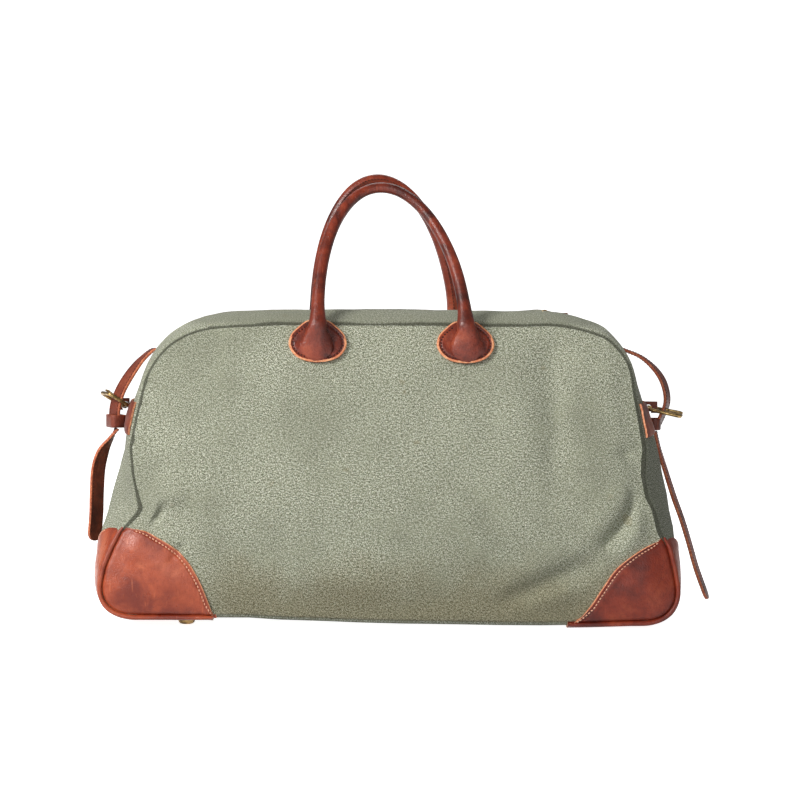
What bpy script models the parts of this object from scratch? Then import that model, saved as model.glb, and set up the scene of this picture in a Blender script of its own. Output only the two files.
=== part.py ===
"""A canvas duffel bag with leather corners, two rolled handles and a buckled strap on each end.

Metres, +Z up. The front faces -Y. The origin is on the ground, under the middle of the base.
The canvas is cut as a front panel, a back panel and a strip that runs round between them:
base, two ends, and a top in two halves that the zip closes and that fold down into the bag.
"""

import math

import bmesh
import bpy
from mathutils import Matrix, Vector

MM = 0.001
GAP = 0.4 * MM  # between pieces that touch
LEATHER_GAP = 0.6 * MM  # between a leather piece and the curved canvas under it

# The seam between a panel and the strip, as seen from the front
BASE_Z = 12 * MM
TOP_Z = 303 * MM
BASE_VERTEX_X = 292.5 * MM  # where the base line and the end line would meet
TOP_VERTEX_X = 235.7 * MM
BASE_TRIM = (42 * MM, 36 * MM)  # corner rounding: along the base, up the end
TOP_TRIM = (62 * MM, 80 * MM)  # down the end, along the top
CORNER_PULL = 0.6
BASE_CORNER_STEPS, END_STEPS, TOP_CORNER_STEPS = 5, 4, 6

# Half the bag's depth at the seam, and how far the cloth stands out of the seam lines
BASE_HALF_DEPTH = 112 * MM
TOP_HALF_DEPTH = 66 * MM
DEPTH_POWER = 1.5
PANEL_CROWN = 10 * MM
CROWN_POWER = 2.6
BASE_SAG = 3 * MM
BASE_FLATNESS = 16
END_CROWN = 4 * MM
TOP_ARCH = 11 * MM
ZIP_RISE = 6 * MM

CANVAS = 1.5 * MM
LINING = 0.8 * MM
LINING_DROP = 5 * MM  # how far it hangs under the zip's fixed ends
LEATHER = 2.0 * MM
BOARD = (250 * MM, 88 * MM, 3.5 * MM)  # base board: half length, half width, thickness
PANEL_COLUMNS = 10
END_COLUMNS = (0.8, 0.6, 0.4, 0.2)  # shares of the half depth, besides the seam and the zip slot

# The mouth: two flaps of the top, hinged along the top seams, with the zip between them
MOUTH_HALF_X = 150 * MM
FLAP_HINGE_Y = 62.2 * MM
FLAP_EDGE_Y = 7 * MM  # the canvas stops here, short of the zip's teeth
TAPE = (15 * MM, 3.5 * MM, 0.8 * MM)  # outer edge, inner edge, thickness
TEETH_HALF_X = MOUTH_HALF_X - 0.3 * MM
TEETH = (3.2 * MM, 0.8 * MM, 3.2 * MM)  # outer edge, inner edge, height
TOOTH_PITCH = 15 * MM
SLOT_END_X = 182 * MM  # the slot in the end of the strip where the zip's fixed end lies
ZIP_STOP_X = (173 * MM, 178 * MM)
SLIDER = (14 * MM, 5 * MM, 1.6 * MM, 0.4 * MM)  # length, half width, plate, half web
SLIDER_X = 162 * MM
PULL = (16 * MM, 9 * MM, 2.0 * MM)  # length, width, thickness of the leather pull
BAIL = (3.6 * MM, 1.6 * MM, 0.7 * MM)  # arch radius, height of its middle over the slider, wire radius

# Leather corners
CORNER_UP = 88 * MM  # how far up the end seam a corner reaches
CORNER_TIP_X = 174 * MM  # where its edge meets the base seam
CORNER_SIDE_DEPTH = 74 * MM  # how far across the strip it reaches
WELT_RADIUS = 2.2 * MM

# Handles
TAB_X = 74 * MM
TAB_Z = 280 * MM
TAB_HALF_WIDTH = 28.5 * MM
TAB_BELOW = 18 * MM
TAB_ABOVE = 19 * MM
TAB = 3.0 * MM
NECK_RADIUS = 8.5 * MM
NECK_TOP_Z = (290 * MM, 293 * MM)  # the neck ends here, under the rounded foot of the handle
PIVOT_Y, PIVOT_Z = 81.5 * MM, 300 * MM
HANDLE_RISE = 154 * MM
HANDLE_HALF_SPAN = 74 * MM
HANDLE_SKEW = -9 * MM
HANDLE_SKEW_POWER = 1.3
HANDLE_RADIUS, HANDLE_BORE, CORE_RADIUS = 6.3 * MM, 4.7 * MM, 4.3 * MM
HANDLE_FOOT = (3.2 * MM, 5.4 * MM)  # how far its foot reaches below the pivot, and the foot's radius
HANDLE_STEPS, HANDLE_SIDES = 18, 8
LEAN = {"front": math.radians(24.5), "back": math.radians(2)}

# Feet, riveted through the leather, the canvas, the lining and the board
FOOT_X, FOOT_Y = 203 * MM, 78 * MM
FOOT_RADIUS, FOOT_SOLE, FOOT_HEIGHT = 8.5 * MM, 5 * MM, 5.8 * MM
SHANK_RADIUS, FOOT_HOLE, WASHER_RADIUS = 2.0 * MM, 2.5 * MM, 6 * MM
WASHER = (1.0 * MM, 1.6 * MM)  # height of its edge, and of the riveted end

# End straps. A buckle's places are measured outwards from the band and up from BUCKLE_Z.
BAND_Z = (190 * MM, 222 * MM)
BUCKLE_Z = 206 * MM
YAW = {"left": math.radians(22), "right": math.radians(12)}  # how far the buckle turns to the front
TILT = {"left": math.radians(40), "right": math.radians(-10)}  # outer end of the buckle, up
BAR = (10.5 * MM, 9 * MM)  # the buckle's bar that the tab holds
FRAME = (28 * MM, 14 * MM, 4 * MM, 1.75 * MM)  # length, half width, corner radius, wire radius
STRAP_WIDTH, STRAP = 18 * MM, 3 * MM
BUCKLE_TAB_WIDTH, BUCKLE_TAB = 20 * MM, 2 * MM
KEEPER = (13.6 * MM, 20.4 * MM, -13 * MM, -1 * MM)  # inner and outer face of its hole, low edge, high edge
KEEPER_HOLE_HALF_WIDTH, KEEPER_LEATHER = 10 * MM, 1.8 * MM
PIN_RADIUS, PIN_EYE = 1.2 * MM, (2.15 * MM, 3.4 * MM, 1.6 * MM)  # pin; eye's bore, outside, half width
PIN_LIFT = {"left": math.radians(12), "right": math.radians(20)}
PIN_SLOT_HALF_WIDTH = 2.3 * MM
PIN_RISE = 3.2 * MM  # the pin's tip lies on the buckle's far bar

SIDES = {"left": -1, "right": 1}
FACES = {"front": -1, "back": 1}

FINISHES = {
    "canvas": ((0.36, 0.37, 0.27), 0.9, 0.0),
    "lining": ((0.55, 0.50, 0.38), 0.9, 0.0),
    "board": ((0.12, 0.10, 0.08), 0.8, 0.0),
    "leather": ((0.31, 0.075, 0.035), 0.45, 0.0),
    "rope": ((0.65, 0.57, 0.42), 0.9, 0.0),
    "tape": ((0.20, 0.20, 0.14), 0.85, 0.0),
    "brass": ((0.45, 0.33, 0.14), 0.35, 1.0),
}


def finish_of(name):
    found = bpy.data.materials.get(name)
    if found:
        return found
    colour, roughness, metallic = FINISHES[name]
    made = bpy.data.materials.new(name)
    made.use_nodes = True
    shader = made.node_tree.nodes["Principled BSDF"]
    shader.inputs["Base Color"].default_value = (*colour, 1)
    shader.inputs["Roughness"].default_value = roughness
    shader.inputs["Metallic"].default_value = metallic
    made.diffuse_color = (*colour, 1)
    return made


def add_object(name, bm, finish, cutter=False):
    bmesh.ops.recalc_face_normals(bm, faces=bm.faces[:])
    mesh = bpy.data.meshes.new(name)
    bm.to_mesh(mesh)
    bm.free()
    mesh.shade_smooth()
    mesh.set_sharp_from_angle(angle=math.radians(35))
    made = bpy.data.objects.new(name, mesh)
    bpy.context.scene.collection.objects.link(made)
    if cutter:
        made.hide_render = True
        made.display_type = "WIRE"
    else:
        mesh.materials.append(finish_of(finish))
    return made


def cut(target, cutter, operation="DIFFERENCE"):
    boolean = target.modifiers.new("cut", "BOOLEAN")
    boolean.operation = operation
    boolean.object = cutter


# ---------------------------------------------------------------- the bag's shape


def rounded(start, vertex, end, steps):
    """Points and outward normals of a rounded corner, as (x, z, normal x, normal z)."""
    a = start.lerp(vertex, CORNER_PULL)
    b = end.lerp(vertex, CORNER_PULL)
    found = []
    for k in range(steps + 1):
        t = k / steps
        u = 1 - t
        p = start * u**3 + a * (3 * u * u * t) + b * (3 * u * t * t) + end * t**3
        run = (a - start) * (u * u) + (b - a) * (2 * u * t) + (end - b) * (t * t)
        run.normalize()
        found.append((p.x, p.y, run.y, -run.x))
    return found


def half_outline():
    """The right half of the seam, from the middle of the base round to the middle of the top.

    Each place is (x, z, normal x, normal z, stretch): stretch is 0 on the base, 1 on the end, 2 on the top.
    """
    low = Vector((BASE_VERTEX_X, BASE_Z))
    high = Vector((TOP_VERTEX_X, TOP_Z))
    up = (high - low).normalized()
    base_arc = rounded(low - Vector((BASE_TRIM[0], 0)), low, low + up * BASE_TRIM[1], BASE_CORNER_STEPS)
    top_arc = rounded(high - up * TOP_TRIM[0], high, high - Vector((TOP_TRIM[1], 0)), TOP_CORNER_STEPS)
    places = [(0, BASE_Z, 0, -1, 0)]
    places += [(*p, k / BASE_CORNER_STEPS) for k, p in enumerate(base_arc)]
    foot, head = Vector(base_arc[-1][:2]), Vector(top_arc[0][:2])
    for k in range(1, END_STEPS):
        places.append((*foot.lerp(head, k / END_STEPS), up.y, -up.x, 1))
    places += [(*p, 1 + k / TOP_CORNER_STEPS) for k, p in enumerate(top_arc)]
    places.append((0, TOP_Z, 0, 1, 2))
    return places


OUTLINE = half_outline()
BASE_ARC = 1  # places in OUTLINE
BASE_ARC_END = BASE_ARC + BASE_CORNER_STEPS
TOP_ARC = BASE_ARC_END + END_STEPS
TOP_ARC_END = TOP_ARC + TOP_CORNER_STEPS


def outline_at(place):
    """The outline at a place, which may be part of the way between two of its points."""
    k = min(int(place), len(OUTLINE) - 2)
    share = place - k
    return [a + (b - a) * share for a, b in zip(OUTLINE[k], OUTLINE[k + 1])]


def place_at_height(z):
    """The place on the bag's end at this height."""
    low, high = OUTLINE[BASE_ARC_END][1], OUTLINE[TOP_ARC][1]
    return BASE_ARC_END + (z - low) / (high - low) * (TOP_ARC - BASE_ARC_END)


def place_at_base(x):
    return BASE_ARC * x / OUTLINE[BASE_ARC][0]


def place_at_top(x):
    return TOP_ARC_END + 1 - x / OUTLINE[TOP_ARC_END][0]


def half_width(z):
    """Half the panel's width at a height."""
    ring = OUTLINE[BASE_ARC : TOP_ARC_END + 1]
    for (x0, z0, *_), (x1, z1, *_) in zip(ring, ring[1:]):
        if z <= z1:
            return x0 + (x1 - x0) * max(0, z - z0) / (z1 - z0)
    return ring[-1][0]


def half_depth(z):
    """Half the bag's depth at the seam, at a height."""
    share = min(1, max(0, (z - BASE_Z) / (TOP_Z - BASE_Z)))
    return TOP_HALF_DEPTH + (BASE_HALF_DEPTH - TOP_HALF_DEPTH) * (1 - share**DEPTH_POWER)


def panel_depth(x, z):
    """How far a panel's outer face is from the middle plane."""
    across = min(1, abs(x) / half_width(z))
    upwards = min(1, abs(2 * (z - BASE_Z) / (TOP_Z - BASE_Z) - 1))
    crown = (1 - across**CROWN_POWER) * (1 - upwards**CROWN_POWER)
    return half_depth(z) + PANEL_CROWN * crown


def strip_rise(stretch, y, z):
    """How far the strip stands out of the seam line: flat base, crowned ends, arched top."""
    t = min(1, abs(y) / half_depth(z))
    on_base, on_top = max(0, 1 - stretch), max(0, stretch - 1)
    on_end = 1 - on_base - on_top
    arch = TOP_ARCH * math.sin(math.pi * t**1.1) + ZIP_RISE * (1 - t) ** 2
    return on_base * BASE_SAG * (1 - t**BASE_FLATNESS) + on_end * END_CROWN * (1 - t * t) + on_top * arch


def strip_point(place, y, out=0.0):
    """(point, inward direction) on the strip's outer face, or a distance out of it."""
    x, z, nx, nz, stretch = outline_at(place)
    away = strip_rise(stretch, y, z) + out
    return Vector((x + nx * away, y, z + nz * away)), Vector((-nx, 0, -nz))


def mirrored(v, side, face=1):
    return Vector((v.x * side, v.y * face, v.z))


# ---------------------------------------------------------------- sheets


def sheet(name, finish, points, inwards, thickness, keep=None):
    """A closed piece of cloth or leather, from the rows of its outer face and the ways to its inner face."""
    bm = bmesh.new()
    inward = bm.verts.layers.float_vector.new("inward")
    grid = []
    for row, ways in zip(points, inwards):
        grid.append([bm.verts.new(p) for p in row])
        for vert, way in zip(grid[-1], ways):
            vert[inward] = way
    for i in range(len(grid) - 1):
        for j in range(len(grid[0]) - 1):
            if keep is None or keep(i, j):
                bm.faces.new((grid[i][j], grid[i][j + 1], grid[i + 1][j + 1], grid[i + 1][j]))
    bmesh.ops.delete(bm, geom=[v for v in bm.verts if not v.link_faces], context="VERTS")
    outer = set(bm.verts)
    bmesh.ops.extrude_face_region(bm, geom=bm.faces[:], use_keep_orig=True)
    for vert in bm.verts:
        if vert not in outer:
            vert.co += vert[inward] * thickness
    return add_object(name, bm, finish)


def panel(name, face):
    """A front or back panel, in rows from the base seam to the top seam."""
    points = []
    for x, z, *_ in OUTLINE[BASE_ARC : TOP_ARC_END + 1]:
        columns = [x * (2 * j / PANEL_COLUMNS - 1) for j in range(PANEL_COLUMNS + 1)]
        points.append([Vector((cx, face * panel_depth(cx, z), z)) for cx in columns])
    inwards = [[Vector((0, -face, 0))] * (PANEL_COLUMNS + 1)] * len(points)
    return sheet(name, "canvas", points, inwards, CANVAS)


def strip_columns(z):
    """The strip's columns at a height: up to the panels' inner faces, with one each side of the zip slot."""
    half = half_depth(z)
    positive = [half - CANVAS - 0.5 * MM] + [half * s for s in END_COLUMNS]
    positive.append(FLAP_EDGE_Y * half / TOP_HALF_DEPTH)
    return [-y for y in positive] + positive[::-1]


def end_gusset(name, side):
    """An end of the strip, from the base up and round the top corner, with a slot for the zip's end."""
    places = [BASE_ARC + 0.01 + k for k in range(0, TOP_ARC_END - BASE_ARC)]
    places[1:] = range(BASE_ARC + 1, TOP_ARC_END)
    places += [TOP_ARC_END, place_at_top(MOUTH_HALF_X + 0.8 * MM)]
    points, inwards = [], []
    for place in places:
        row = [strip_point(place, y) for y in strip_columns(outline_at(place)[1])]
        points.append([mirrored(p, side) for p, _ in row])
        inwards.append([mirrored(way, side) for _, way in row])
    middle = len(points[0]) // 2 - 1

    def keep(i, j):
        return j != middle or abs(points[i][j].x) > SLOT_END_X

    return sheet(name, "canvas", points, inwards, CANVAS, keep)


def base_panel():
    end = OUTLINE[BASE_ARC][0] - 0.4 * MM
    columns = [y for y in strip_columns(BASE_Z) if abs(y) > 2 * FLAP_EDGE_Y]
    points, inwards = [], []
    for k in range(5):
        x = end * (k / 2 - 1)
        row = [strip_point(place_at_base(abs(x)), y)[0] for y in columns]
        points.append([Vector((x, p.y, p.z)) for p in row])
        inwards.append([Vector((0, 0, 1))] * len(row))
    return sheet("base_panel", "canvas", points, inwards, CANVAS)


def lining():
    """One open-topped bag of lining cloth inside the canvas, made solid inwards."""
    away = CANVAS + GAP
    bm = bmesh.new()
    seam = {}
    ring = range(BASE_ARC, TOP_ARC_END + 1)
    for face in FACES.values():
        rows = []
        for place in ring:
            x, z, nx, nz, _ = outline_at(place)
            edge = Vector((x - nx * away, face * (half_depth(z) - away), z - nz * away))
            row = []
            for j in range(PANEL_COLUMNS + 1):
                cx = edge.x * (2 * j / PANEL_COLUMNS - 1)
                depth = panel_depth(cx, z) - away if 0 < j < PANEL_COLUMNS else abs(edge.y)
                row.append(bm.verts.new((cx, face * depth, edge.z)))
            rows.append(row)
            seam[place, face] = row
        for low, high in zip(rows, rows[1:]):
            for j in range(PANEL_COLUMNS):
                bm.faces.new((low[j], low[j + 1], high[j + 1], high[j]))

    def bridge(front, back, lower_front, lower_back, columns):
        """The strip's cells between two places, from the front seam to the back seam."""
        upper = [front, *columns[1], back]
        lower = [lower_front, *columns[0], lower_back]
        for j in range(len(upper) - 1):
            bm.faces.new((lower[j], lower[j + 1], upper[j + 1], upper[j]))

    shares = (-END_COLUMNS[0], 0, END_COLUMNS[0])
    for side, j in ((-1, 0), (1, PANEL_COLUMNS)):
        made = {}
        for place in ring:
            _, z, _, _, stretch = outline_at(place)
            made[place] = []
            for s in shares:
                low = LINING_DROP * max(0, stretch - 1) * (s == 0)
                point = strip_point(place, s * half_depth(z), -away - low)[0]
                made[place].append(bm.verts.new(mirrored(point, side)))
        for low, high in zip(ring, ring[1:]):
            front, back = seam[high, -1][j], seam[high, 1][j]
            bridge(front, back, seam[low, -1][j], seam[low, 1][j], (made[low], made[high]))
        seam[side, "base"] = made[BASE_ARC]
    previous = seam[-1, "base"]
    for j in range(1, PANEL_COLUMNS + 1):
        share = j / PANEL_COLUMNS
        if j < PANEL_COLUMNS:
            here = [bm.verts.new(a.co.lerp(b.co, share)) for a, b in zip(seam[-1, "base"], seam[1, "base"])]
        else:
            here = seam[1, "base"]
        front, back = seam[BASE_ARC, -1], seam[BASE_ARC, 1]
        bridge(front[j], back[j], front[j - 1], back[j - 1], (previous, here))
        previous = here
    made = add_object("lining", bm, "lining")
    solid = made.modifiers.new("cloth", "SOLIDIFY")
    solid.thickness = LINING
    solid.offset = -1
    solid.use_even_offset = True
    return made


def flap(name, face):
    """One half of the top, between its hinge seam and the zip."""
    return strip_band(name, "canvas", face, (FLAP_HINGE_Y, FLAP_EDGE_Y), 6, CANVAS, 0)


def strip_band(name, finish, face, edges, columns, thickness, out):
    """A piece of the top that runs along the mouth between two distances from the middle."""
    points, inwards = [], []
    for k in range(5):
        x = MOUTH_HALF_X * (k / 2 - 1)
        row = []
        for j in range(columns + 1):
            y = face * (edges[0] + (edges[1] - edges[0]) * j / columns)
            row.append(strip_point(len(OUTLINE) - 1, y, out)[0])
        points.append([Vector((x, p.y, p.z)) for p in row])
        inwards.append([Vector((0, 0, -1))] * len(row))
    return sheet(name, finish, points, inwards, thickness)


# ---------------------------------------------------------------- blocks and swept pieces


def box(name, low, high, finish):
    bm = bmesh.new()
    bmesh.ops.create_cube(bm, size=1)
    low, high = Vector(low), Vector(high)
    for vert in bm.verts:
        vert.co = Vector([(a + b) / 2 + c * (b - a) for a, b, c in zip(low, high, vert.co)])
    return add_object(name, bm, finish)


def ring_points(centre, along, across, radius, sides):
    """A round section: points about centre, square to along. across lies in it."""
    other = across.cross(along).normalized()
    found = []
    for k in range(sides):
        angle = 2 * math.pi * k / sides
        found.append(centre + (across * math.cos(angle) + other * math.sin(angle)) * radius)
    return found


def runs(path, closed=False):
    """The direction of a path at each of its points."""
    count = len(path)
    found = []
    for k in range(count):
        before = path[(k - 1) % count] if closed or k > 0 else path[k]
        after = path[(k + 1) % count] if closed or k < count - 1 else path[k]
        found.append((after - before).normalized())
    return found


def add_loft(bm, rings, closed=False, bores=None):
    """Skins the rings of points. bores are the rings of a hole through the piece."""
    shells = [[[bm.verts.new(p) for p in ring] for ring in rings] for rings in (rings, bores) if rings]
    for shell in shells:
        last = len(shell) if closed else len(shell) - 1
        for k in range(last):
            here, after = shell[k], shell[(k + 1) % len(shell)]
            for j in range(len(here)):
                m = (j + 1) % len(here)
                bm.faces.new((here[j], here[m], after[m], after[j]))
    if closed:
        return
    for end in (0, -1):
        outer = shells[0][end]
        if bores:
            inner = shells[1][end]
            for j in range(len(outer)):
                m = (j + 1) % len(outer)
                bm.faces.new((outer[j], outer[m], inner[m], inner[j]))
        else:
            bm.faces.new(outer)


def loft(name, finish, rings, closed=False, bores=None, cutter=False):
    bm = bmesh.new()
    add_loft(bm, rings, closed, bores)
    return add_object(name, bm, finish, cutter)


def tube(name, finish, path, radius, across, sides, closed=False):
    rings = [ring_points(p, run, across, radius, sides) for p, run in zip(path, runs(path, closed))]
    return loft(name, finish, rings, closed)


def ribbon(name, finish, path, facing, width, thickness, closed=False):
    """A flat strip. facing is the way its width runs, at each point of the path."""
    rings = []
    for p, run, wide in zip(path, runs(path, closed), facing):
        thick = wide.cross(run).normalized() * (thickness / 2)
        wide = wide * (width / 2)
        rings.append([p + wide + thick, p + wide - thick, p - wide - thick, p - wide + thick])
    return loft(name, finish, rings, closed)


def smooth(points, steps):
    """A smooth curve through points, with so many steps between each two."""
    found = []
    for k in range(len(points) - 1):
        a, b = points[k], points[k + 1]
        before = points[k - 1] if k else a * 2 - b
        after = points[k + 2] if k + 2 < len(points) else b * 2 - a
        for j in range(steps):
            t = j / steps
            found.append(
                (b * (3 * t * t - 2 * t**3) + a * (1 - 3 * t * t + 2 * t**3))
                + (b - before) * ((t**3 - 2 * t * t + t) / 2)
                + (after - a) * ((t**3 - t * t) / 2)
            )
    found.append(points[-1])
    return found


# ---------------------------------------------------------------- leather corners


def corner_places():
    """The places along the seam that a leather corner covers, from its tip on the end round to the base."""
    top = place_at_height(BASE_Z + CORNER_UP)
    middle = (top + BASE_ARC_END) / 2
    places = [top, middle, *range(BASE_ARC_END, BASE_ARC - 1, -1)]
    places += [place_at_base(x) for x in (CORNER_TIP_X * 1.2, CORNER_TIP_X * 1.07, CORNER_TIP_X)]
    return places


def corner_reach(place):
    """0 to 1: how far the corner's edge is from the seam there, as on a quarter ellipse."""
    x, z = outline_at(place)[:2]
    share = (z - BASE_Z) / CORNER_UP
    if z < 3 * BASE_Z:
        share = max(share, (BASE_VERTEX_X - x) / (BASE_VERTEX_X - CORNER_TIP_X))
    return max(0.1, math.sqrt(max(0, 1 - share * share)))


def corner_face(name, side, face):
    """The leather on the panel, between the seam and a curved edge that bulges away from the corner."""
    places = corner_places()
    steps = 5
    points = []
    for k, place in enumerate(places):
        x, z = outline_at(place)[:2]
        angle = math.pi / 2 * k / (len(places) - 1)
        tip = outline_at(places[0])[0]
        edge_x = tip - (tip - CORNER_TIP_X) * math.sin(angle) + 8 * MM * math.cos(angle) * math.sin(angle)
        edge_z = BASE_Z + CORNER_UP * math.cos(angle)
        narrow = 0.96 if 0 < k < len(places) - 1 else 0.9
        row = []
        for j in range(steps + 1):
            share = narrow * j / steps + (1 - narrow) * (0.5 if narrow == 0.9 else 0)
            px, pz = x + (edge_x - x) * share, z + (edge_z - z) * share
            if k in (0, len(places) - 1):
                px -= 3 * MM * j / steps * (k == 0)
                pz += 3 * MM * j / steps * (k > 0)
            depth = panel_depth(px, max(pz, BASE_Z)) + LEATHER_GAP + LEATHER
            row.append(Vector((side * px, face * depth, pz)))
        points.append(row)
    inwards = [[Vector((0, -face, 0))] * (steps + 1)] * len(points)
    return sheet(name, "leather", points, inwards, LEATHER)


def corner_side(name, side, face):
    """The leather on the strip, bent round from the end to the base."""
    steps = 4
    points, inwards = [], []
    for place in corner_places():
        half = half_depth(outline_at(place)[1])
        reach = CORNER_SIDE_DEPTH * corner_reach(place)
        row = [strip_point(place, half - reach * j / steps, LEATHER_GAP + LEATHER) for j in range(steps + 1)]
        points.append([mirrored(p, side, face) for p, _ in row])
        inwards.append([mirrored(way, side, face) for _, way in row])
    return sheet(name, "leather", points, inwards, LEATHER)


def corner_welt(name, side, face):
    """The rolled leather edge along the corner's seam."""
    stand = WELT_RADIUS + GAP
    path = []
    for place in corner_places():
        x, z, nx, nz, _ = outline_at(place)
        path.append(Vector((side * (x + nx * stand), face * (half_depth(z) + stand), z + nz * stand)))
    return tube(name, "leather", path, WELT_RADIUS, Vector((0, 1, 0)), 6)


# ---------------------------------------------------------------- handles


def tab_radius(angle):
    """The outline of a handle tab."""
    tall = TAB_ABOVE if math.sin(angle) > 0 else TAB_BELOW
    return 1 / math.hypot(math.cos(angle) / TAB_HALF_WIDTH, math.sin(angle) / tall)


def handle_tab(name, side, face):
    """A handle's tab on a panel, with the padded neck that the handle grows out of."""
    rings, sectors = 4, 20
    bm = bmesh.new()

    def pair(dx, dz):
        x, z = TAB_X + dx, TAB_Z + dz
        under = panel_depth(x, z) + LEATHER_GAP
        over = under + TAB
        share = min(1, max(0, (dz + TAB_BELOW) / (NECK_TOP_Z[0] - TAB_Z + TAB_BELOW)))
        swell = NECK_RADIUS * (1 + 0.9 * (1 - share))
        below_top = min(1, max(0, (NECK_TOP_Z[1] - z) / (NECK_TOP_Z[1] - NECK_TOP_Z[0])))
        if abs(dx) < swell:
            stand = math.sqrt(1 - (dx / swell) ** 2) * share * below_top
            over = max(over, over + (PIVOT_Y + NECK_RADIUS - over) * stand)
        return [bm.verts.new((side * x, face * d, z)) for d in (under, over)]

    middle = pair(0, 0)
    layers = []
    for ring in range(1, rings + 1):
        share = ring / rings
        layer = []
        for k in range(sectors):
            angle = 2 * math.pi * k / sectors
            radius = tab_radius(angle) * share
            layer.append(pair(radius * math.cos(angle), radius * math.sin(angle)))
        layers.append(layer)
    for k in range(sectors):
        m = (k + 1) % sectors
        for s in (0, 1):
            bm.faces.new((middle[s], layers[0][k][s], layers[0][m][s]))
            for inner, outer in zip(layers, layers[1:]):
                bm.faces.new((inner[k][s], outer[k][s], outer[m][s], inner[m][s]))
        rim = layers[-1]
        bm.faces.new((rim[k][0], rim[k][1], rim[m][1], rim[m][0]))
    return add_object(name, bm, "leather")


def handle_line(face, lean):
    """(points, up) of a handle's middle line: half an ellipse, in a plane that leans towards the zip."""
    up = Vector((0, -face * math.sin(lean), math.cos(lean)))
    pivot = Vector((0, face * PIVOT_Y, PIVOT_Z))
    places = [(-HANDLE_HALF_SPAN, -HANDLE_FOOT[0])]
    for k in range(HANDLE_STEPS + 1):
        angle = math.pi * k / HANDLE_STEPS
        height = HANDLE_RISE * math.sin(angle)
        skew = HANDLE_SKEW * (height / HANDLE_RISE) ** HANDLE_SKEW_POWER
        places.append((-HANDLE_HALF_SPAN * math.cos(angle) + skew, height))
    places.append((HANDLE_HALF_SPAN, -HANDLE_FOOT[0]))
    return [pivot + Vector((x, 0, 0)) + up * height for x, height in places], up


def handle(face_name):
    """The leather sleeve of a handle, and the rope inside it."""
    line, up = handle_line(FACES[face_name], LEAN[face_name])
    across = Vector((1, 0, 0)).cross(up).normalized()
    outer, bore = [], []
    for k, (p, run) in enumerate(zip(line, runs(line))):
        radius = HANDLE_FOOT[1] if k in (0, len(line) - 1) else HANDLE_RADIUS
        outer.append(ring_points(p, run, across, radius, HANDLE_SIDES))
        bore.append(ring_points(p, run, across, HANDLE_BORE, HANDLE_SIDES))
    loft(f"handle_{face_name}", "leather", outer, bores=bore)
    tube(f"handle_core_{face_name}", "rope", line, CORE_RADIUS, across, HANDLE_SIDES)


# ---------------------------------------------------------------- feet and base board


def turned(bm, profile, x, y, sides=12):
    """A solid turned about an upright line. profile is (radius, z) from the bottom up."""
    rings = []
    for radius, z in profile:
        rings.append(ring_points(Vector((x, y, z)), Vector((0, 0, 1)), Vector((1, 0, 0)), radius, sides))
    add_loft(bm, rings)


def board_levels():
    """(underside, top) of the base board, which lies on the lining."""
    low = BASE_Z - BASE_SAG + CANVAS + GAP + LINING + GAP
    return low, low + BOARD[2]


def feet():
    """A brass foot with its shank and washer at each corner of the base, and one cutter for their holes."""
    top = board_levels()[1] + GAP
    step = 0.01 * MM
    cutter = bmesh.new()
    for side_name, side in SIDES.items():
        for face_name, face in FACES.items():
            x, y = side * FOOT_X, face * FOOT_Y
            bm = bmesh.new()
            profile = [
                (FOOT_SOLE, 0),
                (FOOT_RADIUS * 0.9, FOOT_HEIGHT * 0.35),
                (FOOT_RADIUS, FOOT_HEIGHT * 0.75),
                (FOOT_RADIUS * 0.97, FOOT_HEIGHT),
                (SHANK_RADIUS, FOOT_HEIGHT + step),
                (SHANK_RADIUS, top),
                (WASHER_RADIUS, top + step),
                (WASHER_RADIUS, top + WASHER[0]),
                (SHANK_RADIUS, top + WASHER[1]),
            ]
            turned(bm, profile, x, y)
            add_object(f"foot_{face_name}_{side_name}", bm, "brass")
            turned(cutter, [(FOOT_HOLE, 2 * MM), (FOOT_HOLE, top + 4 * MM)], x, y)
    return add_object("foot_holes", cutter, None, cutter=True)


def base_board():
    low, high = board_levels()
    made = box("base_board", (-BOARD[0], -BOARD[1], low), (BOARD[0], BOARD[1], high), "board")
    bevel = made.modifiers.new("rounded corners", "BEVEL")
    bevel.width = 1.2 * MM
    bevel.segments = 1
    return made


# ---------------------------------------------------------------- zip


def zip_levels():
    """(middle height of the teeth, half their height)."""
    tape_top = strip_point(len(OUTLINE) - 1, TAPE[1])[0].z - CANVAS - 0.3 * MM
    return tape_top - TAPE[2] / 2, TEETH[2] / 2


def zip_teeth(name, face):
    """One row of teeth on its cord: a notched bar."""
    middle, half = zip_levels()
    outer, inner = face * TEETH[0], face * TEETH[1]
    notch = inner + (outer - inner) * 0.45
    count = round(2 * TEETH_HALF_X / TOOTH_PITCH)
    step = 2 * TEETH_HALF_X / count
    edge = []
    for k in range(count):
        x = -TEETH_HALF_X + k * step
        shift = 0.25 if face < 0 else 0.0
        tooth = (x + step * shift + 0.1 * MM, x + step * (shift + 0.55))
        edge += [(tooth[0], notch), (tooth[0], inner), (tooth[1], inner), (tooth[1], notch)]
    bm = bmesh.new()
    start, end = -TEETH_HALF_X, TEETH_HALF_X
    outline = [(start, outer), (start, notch), *edge, (end, notch), (end, outer)]
    bottom = bm.faces.new([bm.verts.new((x, y, middle - half)) for x, y in outline])
    top = bmesh.ops.extrude_face_region(bm, geom=[bottom], use_keep_orig=True)["geom"]
    for vert in (v for v in top if isinstance(v, bmesh.types.BMVert)):
        vert.co.z = middle + half
    return add_object(name, bm, "brass")


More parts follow.
